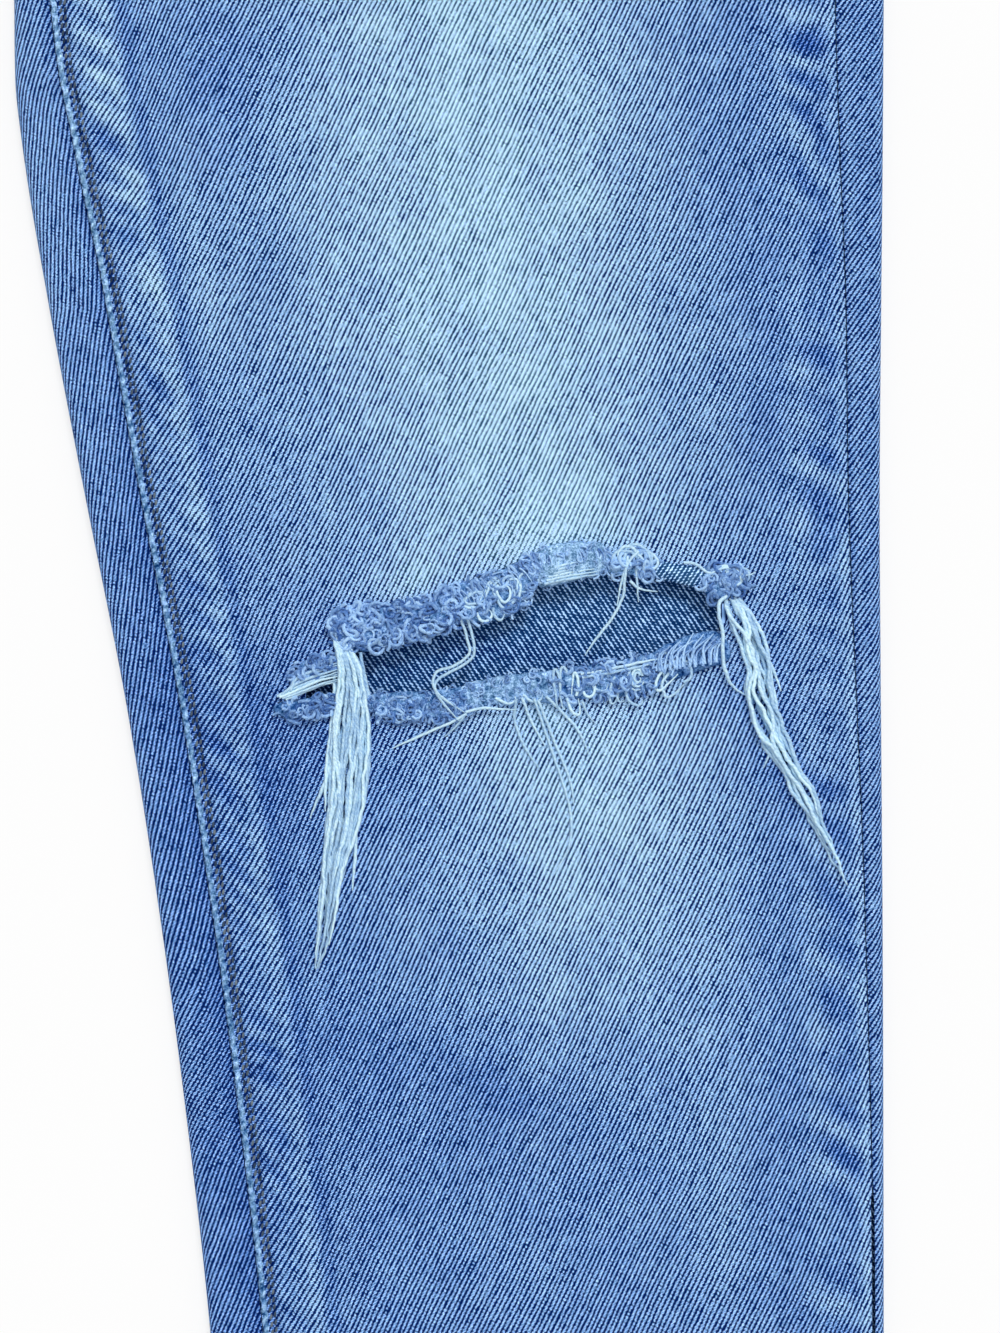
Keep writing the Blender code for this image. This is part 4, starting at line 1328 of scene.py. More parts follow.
def belt_loop(word, x_middle, middle):
    """A folded strip, pressed flat at its two sewn ends and standing a little proud between."""
    front = middle < 0
    start = waist_seam(x_middle, middle) - LOOP_LAP
    rows = start + np.linspace(0, BAND_HEIGHT + LOOP_LAP, 30)
    half = np.full(len(rows), LOOP_WIDTH / 2)
    x = between(x_middle - half, x_middle + half, 12)
    y = rows[:, None] * np.ones_like(x)
    edge = LOOP_WIDTH / 2 - np.abs(x - x_middle)
    end = np.minimum(y - rows[0], rows[-1] - y)
    if front:
        z = LOOP_TOP + 0.5 * ease(2, 12, end) - 0.3 * hump(edge, 0, 0.7)
    else:
        z = 0.3 * hump(edge, 0, 0.7)
    tone = 112 + rubbed(edge, 1.2) + 10 * hump(end, 0, 2)
    return flat_piece("denim_belt_loop_" + word, x, y, z, tone, LOOP_WALL, faces_up=front)


loops = {word: belt_loop(word, *place) for word, place in LOOP_PLACES.items()}

# %% [markdown]
# ## The waist button
#
# A tack button is stamped from sheet metal: a domed cap with a rolled rim, on a shank through the
# buttonhole. It is a turned shape, so half of its outline is spun round by a Screw modifier.

# %% Button
CAP_FOOT = LAP_TOP + GAP
SHANK_FOOT = BAND_TOP + GAP
CAP = [(0.0, 2.6), (1.6, 2.58), (3.2, 2.42), (4.6, 2.1), (5.5, 1.72), (5.9, 1.7), (6.3, 2.0), (6.9, 2.3)]
CAP += [(7.5, 2.25), (8.1, 1.9), (8.45, 1.4), (8.5, 0.9), (8.2, 0.3), (7.6, 0.0)]
SHANK = [(SHANK_RADIUS, 0.0), (SHANK_RADIUS, SHANK_FOOT - CAP_FOOT), (0.0, SHANK_FOOT - CAP_FOOT)]


def waist_button():
    """Half of its outline, as radius and height over the cap's foot, spun round and set in place."""
    mesh = bpy.data.meshes.new("button_metal")
    points = [(radius * MM, 0.0, (CAP_FOOT + height) * MM) for radius, height in CAP + SHANK]
    mesh.from_pydata(points, [(i, i + 1) for i in range(len(points) - 1)], [])
    mesh.materials.append(METAL)
    button = add_piece("button_metal", mesh)
    turn = button.modifiers.new("turned", "SCREW")
    turn.steps = 48
    turn.render_steps = 48
    turn.use_merge_vertices = True
    turn.merge_threshold = 0.00001
    turn.use_normal_calculate = True
    solid(button)
    button.data.transform(Matrix.Translation((BUTTON_X * MM, BUTTON_Y * MM, 0)))
    turned_out(button.data)
    smoothed(button.data)
    button.data.set_sharp_from_angle(angle=math.radians(60))
    return button


button = waist_button()
print("button:", len(button.data.polygons), "faces")

# %% [markdown]
# ## The rolled edge of the inseam
#
# Beside the inseam's stitches the front's folded edge stands up in a narrow roll, and every stitch
# pulls a small slanted dent into it. A bump texture would stay flat in outline, so the roll is a
# tube of its own along the seam, with a slanted wave at the stitches' pitch.

# %% A closed skin round a line
def tube(name, rings, weave, tone, material):
    """A closed skin round rings of points, given in millimetres, with a flat cap at each end."""
    count, sides = tone.shape
    corner = np.arange(count * sides).reshape(count, sides)
    after = np.roll(corner, -1, axis=1)
    quads = joined(corner[:-1], after[:-1], after[1:], corner[1:]).reshape(-1, 4).tolist()
    quads += [corner[0, ::-1].tolist(), corner[-1].tolist()]
    mesh = bpy.data.meshes.new(name)
    mesh.from_pydata((rings.reshape(-1, 3) * MM).tolist(), [], quads)
    carry(mesh, weave.reshape(-1, 2), tone.ravel())
    mesh.materials.append(material)
    turned_out(mesh)
    smoothed(mesh)
    print(f"{name}: {len(mesh.polygons)} faces")
    return add_piece(name, mesh)


print("closed skins can be made")

# %% Inseam roll
STITCH_PITCH = 3.0
ROLL_INSET = 0.75
ROLL_SIDES = 10


def inseam_roll(word, side):
    """The roll beside one inseam, thinner towards its upper end."""
    rows = spaced((HEM + 0.5, 1.4), (-310, 0.6), (48, 1.4), 196.0)[:, None]
    angle = round_angles(ROLL_SIDES)
    x, y, z = front_place("inner", rows, ROLL_INSET * np.ones_like(rows), side > 0)[:3]
    size = 0.4 + 0.6 * (1 - ease(150, 196, rows))
    drift = 0.8 * patchy(rows, 0 * rows, 15, 41.0)
    wave = np.sin(math.tau * rows / STITCH_PITCH + 1.5 * angle + drift)
    px = x + (0.74 + 0.18 * wave) * size * np.cos(angle)
    pz = z - 0.15 + (0.60 + 0.24 * wave) * size * np.sin(angle)
    rings = joined(px * side, y, pz)
    weave = joined(angle * 1.3, rows)
    base = 100 + 18 * ease(-70, -20, rows)
    # Painted light and shade: the roll is lighter on top and darker underneath, and darker in the dents
    # that the stitches pull in.
    tone = (base + 24 * wave + 14 * np.sin(angle) + 10 * patchy(rows, angle, 3, 42.0)) / WHITE_TONE
    return tube("inseam_roll_" + word, rings, weave, tone, FLUFF)


rolls = [inseam_roll(word, side) for word, side in SIDES.items()]

# %% [markdown]
# ## Stitches
#
# There are some thousands of stitches, all alike, each following its seam. They could be copied by
# hand or by a curve modifier, but Geometry Nodes does it with a few sizes to set: the curve is
# divided at the stitches' pitch, and a small plump oval is laid along it at each point.

# %% Geometry trees, and the meshes that they make
def tree_with(name, inputs):
    """A new geometry tree's board, and the values of its named inputs."""
    tree = bpy.data.node_groups.new(name, "GeometryNodeTree")
    tree.interface.new_socket("Geometry", in_out="OUTPUT", socket_type="NodeSocketGeometry")
    tree.interface.new_socket("Geometry", in_out="INPUT", socket_type="NodeSocketGeometry")
    for label, kind in inputs:
        tree.interface.new_socket(label, in_out="INPUT", socket_type="NodeSocket" + kind)
    board = Board(tree)
    start = tree.nodes.new("NodeGroupInput")
    given = {socket.name: Number(board, socket) for socket in start.outputs if socket.name}
    return board, given


def close_tree(board, geometry, material):
    """Realizes the instances, sets the material and links the result out."""
    real = board.add("GeometryNodeRealizeInstances", values={"Geometry": geometry})
    smooth = board.add("GeometryNodeSetShadeSmooth", values={"Geometry": real})
    dressed = board.add("GeometryNodeSetMaterial", values={"Geometry": smooth, "Material": material})
    end = board.tree.nodes.new("NodeGroupOutput")
    board.tree.links.new(dressed.socket, end.inputs["Geometry"])
    return board.tree


def grown(name, base, tree, values):
    """Runs a geometry tree on an object and leaves its result as a plain mesh."""
    piece = add_piece(name, base)
    nodes = piece.modifiers.new("made", "NODES")
    nodes.node_group = tree
    for item in tree.interface.items_tree:
        if item.in_out == "INPUT" and item.name in values:
            nodes[item.identifier] = values[item.name]
    graph = bpy.context.evaluated_depsgraph_get()
    mesh = bpy.data.meshes.new_from_object(piece.evaluated_get(graph))
    bpy.data.objects.remove(piece)
    mesh.name = name
    print(f"{name}: {len(mesh.polygons)} faces")
    return add_piece(name, mesh)


print("geometry trees so far:", len(bpy.data.node_groups))

# %% Geometry Nodes: a row of stitches
def stitch_tree():
    """Plump ovals along a curve. A slant turns each of them on the cloth."""
    sizes = [(size, "Float") for size in ("Pitch", "Length", "Width", "Slant")]
    board, given = tree_with("stitches", sizes + [("Thread", "Material")])
    values = {"Curve": given["Geometry"], "Length": given["Pitch"]}
    line = board.add("GeometryNodeResampleCurve", {"mode": "LENGTH"}, values)
    oval = board.add("GeometryNodeMeshUVSphere", values={"Segments": 7, "Rings": 4, "Radius": 0.5})
    scale = board.vector(given["Length"], given["Width"], given["Width"])
    stitch = board.add("GeometryNodeTransform", values={"Geometry": oval, "Scale": scale})
    tangent = board.add("GeometryNodeInputTangent")
    aligned = board.add("FunctionNodeAlignRotationToVector", {"axis": "X"}, {"Vector": tangent})
    values = {"Rotation": aligned, "Rotate By": board.vector(0.0, 0.0, given["Slant"])}
    turned = board.add("FunctionNodeRotateRotation", {"rotation_space": "LOCAL"}, values)
    toned = board.stored(line, "tone", board.random(0.15, 0.8, Seed=4))
    values = {"Points": toned, "Instance": stitch, "Rotation": turned}
    row = board.add("GeometryNodeInstanceOnPoints", values=values)
    return close_tree(board, row, given["Thread"])


STITCHES = stitch_tree()


def curve_of(name, lines, thick=None):
    """A curve with one straight-sided spline for each line of points in millimetres."""
    curve = bpy.data.curves.new(name, "CURVE")
    curve.dimensions = "3D"
    for number, line in enumerate(lines):
        spline = curve.splines.new("POLY")
        spline.points.add(len(line) - 1)
        flat = np.ones((len(line), 4))
        flat[:, :3] = np.asarray(line) * MM
        spline.points.foreach_set("co", flat.ravel())
        if thick is not None:
            spline.points.foreach_set("radius", np.asarray(thick[number], float))
    return curve


def stitched(name, lines, pitch=STITCH_PITCH, length=2.5, width=0.55, slant=0.0):
    """A row of stitches along each line, with their sizes in millimetres."""
    sizes = {"Pitch": pitch * MM, "Length": length * MM, "Width": width * MM}
    sizes |= {"Slant": slant, "Thread": THREAD}
    return grown(name, curve_of(name, lines), STITCHES, sizes)


print("stitch tree:", len(STITCHES.nodes), "nodes")

# %% Lines of stitches on the front panels
PROUD = 0.12  # how far a stitch's middle stands over the cloth


def front_over(x, y, torn):
    """Height of a front panel's upper face over a place."""
    row = y - (dipped(x, y, FRONT_DIP) - y)
    return front_place("outer", row, seam_x("outer", row) - x, torn)[2]


def seam_line(edge, y, inset, side):
    """A line over a front panel that follows one of its seams."""
    x, row, z = front_place(edge, y, inset, side > 0)[:3]
    return joined(x * side, row, z + PROUD)


def front_line(x, y, side):
    """A line over a front panel, through any places."""
    return joined(x * side, y, front_over(x, y, side > 0) + PROUD)


def inseam_lines(side):
    """The two close rows that hold the inseam's roll down."""
    lines = []
    for inset, start in ((2.4, HEM + 2), (3.5, HEM + 2.9)):
        y = spaced((start, 2.0), 190.0)
        wander = 0.25 * patchy(y, 0 * y + inset, 9, 21.0)
        lines.append(seam_line("inner", y, inset + wander, side))
    return lines


def mouth_line(inset, side):
    """A line round a pocket's mouth, as far as the side seam and the waistband."""
    angle = np.linspace(0.12, 1.55, 60)
    x = MOUTH_X - (MOUTH_REACH + inset) * np.sin(angle)
    y = MOUTH_Y - (MOUTH_DROP + inset) * np.cos(angle)
    on_panel = (x < seam_x("outer", y) - 1) & (y < waist_seam(x, -WAIST_CURVE) - 1)
    return front_line(x[on_panel], y[on_panel], side)


def front_lines(side):
    """Rows round the pocket, down the side seam and along the hem, and on the left up to the fly."""
    lines = [mouth_line(3.0, side), mouth_line(8.5, side)]
    y = spaced((296.0, 2.0), 386.0)
    lines.append(seam_line("outer", y, 3.0 + 0 * y, side))
    y = np.full(80, HEM_STITCHES)
    start = seam_x("inner", y)
    x = start + (seam_x("outer", y) - start) * np.linspace(0.02, 0.98, 80)
    lines.append(front_line(x, y, side))
    if side > 0:
        y = spaced((222.0, 2.0), 316.0)
        lines += [seam_line("inner", y, inset + 0 * y, side) for inset in (2.2, 7.6)]
    return lines


print("lines on the right front:", len(front_lines(-1)))

# %% Lines of stitches on the fly and the waistband
def fly_line(inset):
    """A line in from the fly's outer edge, round its foot and up to the waistband."""
    angle = np.linspace(0.1, math.pi / 2, 26)
    straight = spaced((FLY_FOOT + FLY_TURN + 2, 2.0), WAIST - WAIST_CURVE - 2)
    foot_y = FLY_FOOT + inset + (FLY_TURN - inset) * (1 - np.cos(angle))
    x = (FLY_WIDTH - inset) * np.concatenate([np.sin(angle), np.ones(len(straight))])
    return joined(x, np.concatenate([foot_y, straight]), FLY_TOP + PROUD)


def band_lines():
    """Rows along the waistband's foot and head, and one across the tip of its lap."""
    x, z, foot = band_line()
    outward = np.where(z > BAND_MIDDLE, PROUD, -PROUD)
    low = 3.5
    high = BAND_HEIGHT - 3.5
    lines = [joined(x, foot + rise, z + outward) for rise in (low, high)]
    tip_y = waist_seam(LAP_TIP, -WAIST_CURVE) + np.linspace(low, high, 14)
    lines.append(joined(LAP_TIP + 3, tip_y, LAP_TOP + PROUD))
    return lines


print("lines on the waistband:", len(band_lines()))

# %% Lines of stitches on the back
UNDER = 0.15  # a stitch's middle over the floor, where the cloth lies on it


def pocket_lines(side):
    """Two rows down, round and up a back pocket, and two across its top."""
    lines = []
    for inset in (2.5, 8.0):
        top = POCKET_TOP - 3
        corner = POCKET_CORNER + inset * 0.4
        wide, narrow = pocket_half_width(np.array([top, corner])) - inset
        x = np.array([-wide, -narrow, 0, narrow, wide])
        y = np.array([top, corner, POCKET_TIP + inset * 1.1, corner, top])
        lines.append(joined((POCKET_X + x) * side, y, UNDER))
    for y in (POCKET_TOP - 4.0, POCKET_TOP - 14.0):
        half = pocket_half_width(y) - 2.5
        x = np.array([-half, half])
        lines.append(joined((POCKET_X + x) * side, y, UNDER))
    return lines


def under_line(x, y, side):
    """A line along the underside of a leg or of the seat."""
    z = np.maximum(smooth_line(LEVELS, "under", y) - PROUD, UNDER)
    return joined(x * side, dipped(x, y, BACK_DIP), z)


def back_lines(side):
    """Rows round the pocket, along the yoke and the hem, and on the left up the seat's seam."""
    lines = pocket_lines(side)
    x = np.linspace(1, 176, 80)
    lines += [under_line(x, YOKE_SEAM + rise + 0 * x, side) for rise in (2.5, 8.0)]
    x = np.linspace(OUTLINE[0].inner + 6, OUTLINE[0].outer - 6, 70)
    lines.append(under_line(x, HEM_STITCHES + 0 * x, side))
    if side > 0:
        y = spaced((246.0, 2.0), YOKE_SEAM - 2)
        lines += [under_line(inset + 0 * y, y, side) for inset in (2.5, 8.0)]
    return lines


print("lines under the left leg:", len(back_lines(1)))

# %% Lines of stitches on the belt loops
def loop_lines(word):
    """Two rows up a belt loop, over the rise in its middle."""
    x_middle, middle = LOOP_PLACES[word]
    start = waist_seam(x_middle, middle) - LOOP_LAP
    y = np.linspace(start + 2.5, start + BAND_HEIGHT + LOOP_LAP - 2.5, 30)
    end = np.minimum(y - y[0], y[-1] - y) + 2.5
    z = LOOP_TOP + 0.5 * ease(2, 12, end) + PROUD if middle < 0 else UNDER
    return [joined(x_middle + off, y, z) for off in (-3.0, 3.0)]


def tack_lines(word):
    """A line across each end of a belt loop."""
    x_middle, middle = LOOP_PLACES[word]
    start = waist_seam(x_middle, middle) - LOOP_LAP
    x = x_middle + np.array([-4.2, 4.2])
    z = LOOP_TOP + PROUD if middle < 0 else UNDER
    return [joined(x, y, z) for y in (start + 2.0, start + BAND_HEIGHT + LOOP_LAP - 2.0)]


loop_runs = [line for word in LOOP_PLACES for line in loop_lines(word)]
tack_runs = [line for word in LOOP_PLACES for line in tack_lines(word)]
print("lines on the belt loops:", len(loop_runs) + len(tack_runs))

# %% Stitches along all the lines
INSEAM_SIZES = {"pitch": 1.9, "length": 1.6, "width": 0.72}
TACK_SIZES = {"pitch": 0.55, "length": 2.2, "width": 0.5, "slant": math.pi / 2}
inseam_stitches = []
other_stitches = []
for word, side in SIDES.items():
    name = "inseam_stitches_" + word
    inseam_stitches.append(stitched(name, inseam_lines(side), slant=-0.35 * side, **INSEAM_SIZES))
    other_stitches.append(stitched("front_stitches_" + word, front_lines(side)))
    other_stitches.append(stitched("back_stitches_" + word, back_lines(side)))
other_stitches.append(stitched("fly_stitches", [fly_line(3.0), fly_line(8.5)]))
other_stitches.append(stitched("band_stitches", band_lines()))
other_stitches.append(stitched("belt_loop_stitches", loop_runs))
other_stitches.append(stitched("belt_loop_tacks", tack_runs, **TACK_SIZES))

# %% [markdown]
# ## Loose yarns
#
# The warp has worn away at the tear, and what is left is yarn: white weft bundles that hang from
# the tear's corners, thin threads across it, and a pile of short blue curls along both edges. A
# yarn here is a listed route. Geometry Nodes divides the route finely, crimps it as weaving
# did, and sweeps a small circle along it. Hair curves would be quicker, but they don't leave a mesh.

# %% Geometry Nodes: yarns along routes
YARN_STEP = 0.45
YARN_SIDES = 6


def round_profile(board, sides, radius):
    """A small circle that stores how far round it each of its points is."""
    circle = board.add("GeometryNodeCurvePrimitiveCircle", values={"Resolution": sides, "Radius": radius})
    return board.stored(circle, "around", board.add("GeometryNodeSplineParameter", out="Factor"))


def yarn_tree():
    """Round yarns along curves, bent a little by noise, each with a tone of its own."""
    sizes = [(size, "Float") for size in ("Width", "Crimp", "Tone", "Spread")]
    board, given = tree_with("yarns", sizes + [("Yarn", "Material")])
    values = {"Curve": given["Geometry"], "Length": YARN_STEP * MM}
    line = board.add("GeometryNodeResampleCurve", {"mode": "LENGTH"}, values)
    number = board.add("GeometryNodeCurveOfPoint", out="Curve Index")
    place = board.add("GeometryNodeInputPosition")
    values = {"Vector": place, "W": number * 3.7, "Scale": 430.0, "Detail": 1.0}
    bend = board.add("ShaderNodeTexNoise", {"noise_dimensions": "4D"}, values, out="Color")
    values = {0: bend, 1: (0.5, 0.5, 0.5)}
    centred = board.add("ShaderNodeVectorMath", {"operation": "SUBTRACT"}, values)
    values = {0: centred, "Scale": given["Crimp"]}
    shift = board.add("ShaderNodeVectorMath", {"operation": "SCALE"}, values)
    bent = board.add("GeometryNodeSetPosition", values={"Geometry": line, "Offset": shift})
    marked = board.stored(bent, "along", board.add("GeometryNodeSplineParameter", out="Length"))
    low = given["Tone"] - given["Spread"]
    high = given["Tone"] + given["Spread"]
    toned = board.stored(marked, "tone", board.random(low, high, ID=number, Seed=2))
    profile = round_profile(board, YARN_SIDES, given["Width"] * 0.5)
    radius = board.add("GeometryNodeInputRadius")
    values = {"Curve": toned, "Profile Curve": profile, "Scale": radius, "Fill Caps": True}
    swept = board.add("GeometryNodeCurveToMesh", values=values)
    return close_tree(board, swept, given["Yarn"])


YARNS = yarn_tree()
print("yarn tree:", len(YARNS.nodes), "nodes")

# %% Routes and yarns
def smooth_route(route):
    """A smooth line through given places, with a place about every millimetre."""
    route = np.asarray(route, float)
    ends = np.vstack([2 * route[0] - route[1], route, 2 * route[-1] - route[-2]])
    places = []
    for before, start, end, after in zip(ends, ends[1:], ends[2:], ends[3:]):
        count = max(int(np.hypot(*(end - start)[:2])), 2)
        t = np.linspace(0, 1, count, endpoint=False)[:, None]
        bend = 2 * start + (end - before) * t + (2 * before - 5 * start + 4 * end - after) * t**2
        places.append((bend + (3 * start - before - 3 * end + after) * t**3) / 2)
    places.append(route[-1:])
    return np.vstack(places)


def laid(route, rise=None):
    """A smooth route over the torn panel. Its rise is one number, or the third of each place."""
    places = smooth_route(route)
    rises = places[:, 2] if rise is None else rise
    return np.column_stack([places[:, :2], front_over(places[:, 0], places[:, 1], True) + rises])


def tapered(line):
    """Widths along a yarn: whole, and thin over its last few points."""
    return np.interp(np.arange(len(line))[::-1], [0, 6], [0.35, 1.0])


def yarns(name, lines, width=0.62, crimp=0.5, tone=0.5, spread=0.2, yarn=WHITE_YARN):
    """A yarn along each line, with its width and crimp in millimetres."""
    sizes = {"Width": width * MM, "Crimp": crimp * MM}
    sizes |= {"Tone": tone, "Spread": spread, "Yarn": yarn}
    curve = curve_of(name, lines, [tapered(line) for line in lines])
    return grown(name, curve, YARNS, sizes)


print("a trial route has", len(smooth_route([(0, 0), (6, 0), (9, 4)])), "places")

# %% [markdown]
# ## The two hanging bundles
#
# The weft yarns that once crossed the tear have broken and hang in two bundles from its corners.
# Each bundle is told by its left and right edge at a few heights. A strand keeps its own share of
# that width, wanders a little across the others, and ends at its own height.

# %% Edges of the bundles
Edge = namedtuple("Edge", "y left right")
INNER_BUNDLE = [Edge(*row) for row in (
    (-207.5, 81, 82.2),
    (-201, 81.6, 84.8),
    (-194.8, 82.3, 86.4),
    (-182.8, 83.2, 88.3),
    (-173.3, 84, 91.6),
    (-163.8, 84.2, 94),
    (-149.3, 85.4, 94.8),
    (-140, 86.6, 94.8),
    (-133, 87, 93.4),
    (-127, 86.6, 90),
    (-122.3, 85.4, 86.6),
)]
OUTER_BUNDLE = [Edge(*row) for row in (
    (-186, 213.6, 214.6),
    (-179, 209.8, 212),
    (-171.3, 205.6, 208.4),
    (-163.5, 201.6, 206.2),
    (-158.5, 198.8, 203.4),
    (-153.3, 194.6, 200.2),
    (-145.8, 191, 198.4),
    (-138, 189.2, 194.9),
    (-133, 188.9, 195),
    (-125.3, 187, 193.8),
    (-118, 184.4, 190.4),
    (-114.5, 183.6, 186.6),
)]


print("inner bundle:", INNER_BUNDLE[-1].y - INNER_BUNDLE[0].y, "mm long")

# %% Strands of the bundles
def hanging(bundle, count, lowest, sway, layer):
    """Strands of a bundle, from its top row down to ends that differ in height."""
    lines = []
    top = bundle[-1].y
    for number in range(count):
        share = (number + 0.5) / count
        end = lowest[number % len(lowest)]
        y = np.linspace(top, end, 40)
        wander = 0.16 * patchy(y, 0 * y + number * 7.3, 17, layer) * sway
        place = np.clip(share + wander, 0.02, 0.98)
        left = smooth_line(bundle, "left", y)
        right = smooth_line(bundle, "right", y)
        shake = 0.25 * sway * patchy(y, 0 * y + number * 3.1, 5, layer + 1)
        x = left + (right - left) * place + shake + 0.12 * np.sin(y * 1.3 + number * 2.1)
        crowd = 0.45 + 0.85 * (number % 3) * ease(0, 8, top - y)
        lines.append(np.column_stack([x, y, front_over(x, y, True) + crowd]))
    return lines


INNER_ENDS = (-199, -186, -205, -192, -207, -178, -201, -188, -183, -196, -176, -190, -181)
OUTER_ENDS = (-166, -178, -158, -184, -172, -186, -163, -180, -170, -160)
inner_strands = hanging(INNER_BUNDLE, 34, INNER_ENDS, 1.0, 51.0)
inner_strands += [
    laid([(85.6, -152), (84.6, -158), (82, -164.5), (80, -169.6)], 0.4),
    laid([(84.4, -174), (83.4, -183), (82.4, -190), (82, -199.6)], 0.5),
    laid([(91.6, -168), (91.4, -177), (90.6, -187.6)], 0.4),
    laid([(92.6, -128), (94.4, -140), (94.9, -152), (93.6, -164), (90.4, -176)], 0.5),
    laid([(86.4, -129), (85.8, -142), (84.2, -156), (83.8, -168)], 0.5),
]
outer_strands = hanging(OUTER_BUNDLE, 12, OUTER_ENDS, 2.7, 61.0)
outer_strands += [
    laid([(194.6, -130), (196.6, -134.5), (197.8, -137.6)], 0.4),
    laid([(195.2, -150), (194.8, -153.5), (193.2, -157)], 0.4),
    laid([(199.6, -156), (201.2, -160.5), (203.6, -165.2)], 0.4),
    laid([
        (184.2, -114, 1.2), (182.1, -116.4, 1.6), (183, -124, 2.6),
        (183.6, -132, 2.2), (185.8, -136.8, 0.8), (188.8, -138.6, 0.5),
    ]),
    laid([
        (186.6, -115.4), (190.8, -119.2), (193.9, -126),
        (195.2, -134), (196.6, -142), (198.4, -150),
    ], 0.7),
]
inner_bundle = yarns("yarns_inner_bundle", inner_strands, width=0.9, crimp=0.65, tone=0.76, spread=0.2)
outer_bundle = yarns("yarns_outer_bundle", outer_strands, width=0.98, crimp=0.9, tone=0.76, spread=0.2)

# %% [markdown]
# ## Single threads, loops and wefts
#
# Between the bundles a few thinner threads lie across the tear and down the shin, and others have
# sprung back into open loops. Short runs of weft still lie side by side where they were woven.
# Each thread has its own short route, and each loop is part of an uneven ellipse.

# %% Threads
THREADS = [
    [
        (119, -119, 1.6), (120.6, -124, 0.6), (120.9, -128.8, 0.5), (117.4, -131.8, 0.5),
        (112.2, -134.6, 0.8), (111.5, -138, 2), (115.2, -143, 2.2), (117.6, -145.4, 2),
    ],
    [
        (117.6, -119.4, 1.5), (119.2, -124.2, 0.6), (119.8, -128.4, 0.6), (116, -131.4, 0.6),
        (111.6, -133, 0.8), (110.9, -136.4, 1.8), (113.4, -139.6, 2.3), (118.9, -143.2, 2.2),
    ],
    [(119.2, -143.4, 2.3), (114.5, -145.8, 1.6), (107.5, -148.9, 0.5), (100.5, -152, 0.4)],
    [(118.6, -144, 2.2), (116.4, -146.6, 1.2), (113.8, -149, 0.4)],
    [(118.9, -143, 2.3), (123, -142, 1.8), (127, -142.2, 1.7), (131.6, -142.4, 1.5)],
    [
        (159.4, -104, 2.4), (158.6, -109.6, 1.6), (158.2, -114, 0.5), (155.6, -119.4, 0.4),
        (151.6, -124.6, 0.4), (148.8, -128.8, 0.5),
    ],
    [(162, -102.8, 2.4), (159.6, -105.6, 2.2), (157.8, -110.6, 1), (156.8, -116.4, 0.4)],
    [(162, -105.2, 2.2), (161.6, -109, 1), (162.1, -115.4, 0.4)],
    [(160, -110.2, 1), (162.4, -112.2, 0.4), (166.8, -112.9, 0.5)],
    [
        (136, -139.6, 2), (138.4, -146.4, 0.6), (144.2, -163.8, 0.4), (145.3, -170.8, 0.4),
        (144.6, -177, 0.4), (141, -183.6, 0.4),
    ],
    [(137, -140, 1.9), (141, -150, 0.5), (145, -160, 0.4), (146, -166, 0.4)],
    [(131.6, -139.6, 1.9), (131.2, -145.2, 0.5), (134, -152.2, 0.4), (137.4, -157.4, 0.4)],
    [(133, -139.4, 1.9), (135.4, -145.4, 0.6), (138.8, -151.4, 0.4)],
    [(139, -139, 2), (143.4, -143.4, 0.8), (147.2, -147.8, 0.4), (149.8, -153.8, 0.4)],
    [(148, -140.2, 1.8), (149.4, -143.6, 0.6), (151.4, -145.8, 0.4)],
    [
        (173.4, -105.6, 1.2), (176.4, -106, 1.6), (179.8, -108.2, 1.9), (184, -106.9, 1.8),
        (188.8, -108.8, 1.8), (191.4, -108, 1),
    ],
    [(147.6, -133.5, 1.9), (154, -132.4, 2), (160.6, -131, 2.1), (168, -129.5, 2)],
    [(148, -134.4, 1.9), (155, -133.2, 1.9), (161, -131.9, 2), (167, -130.6, 1.9)],
]
thin_routes = [laid(route) for route in THREADS]
thin_threads = yarns("yarns_threads", thin_routes, width=0.76, crimp=0.45, tone=0.78, spread=0.15)


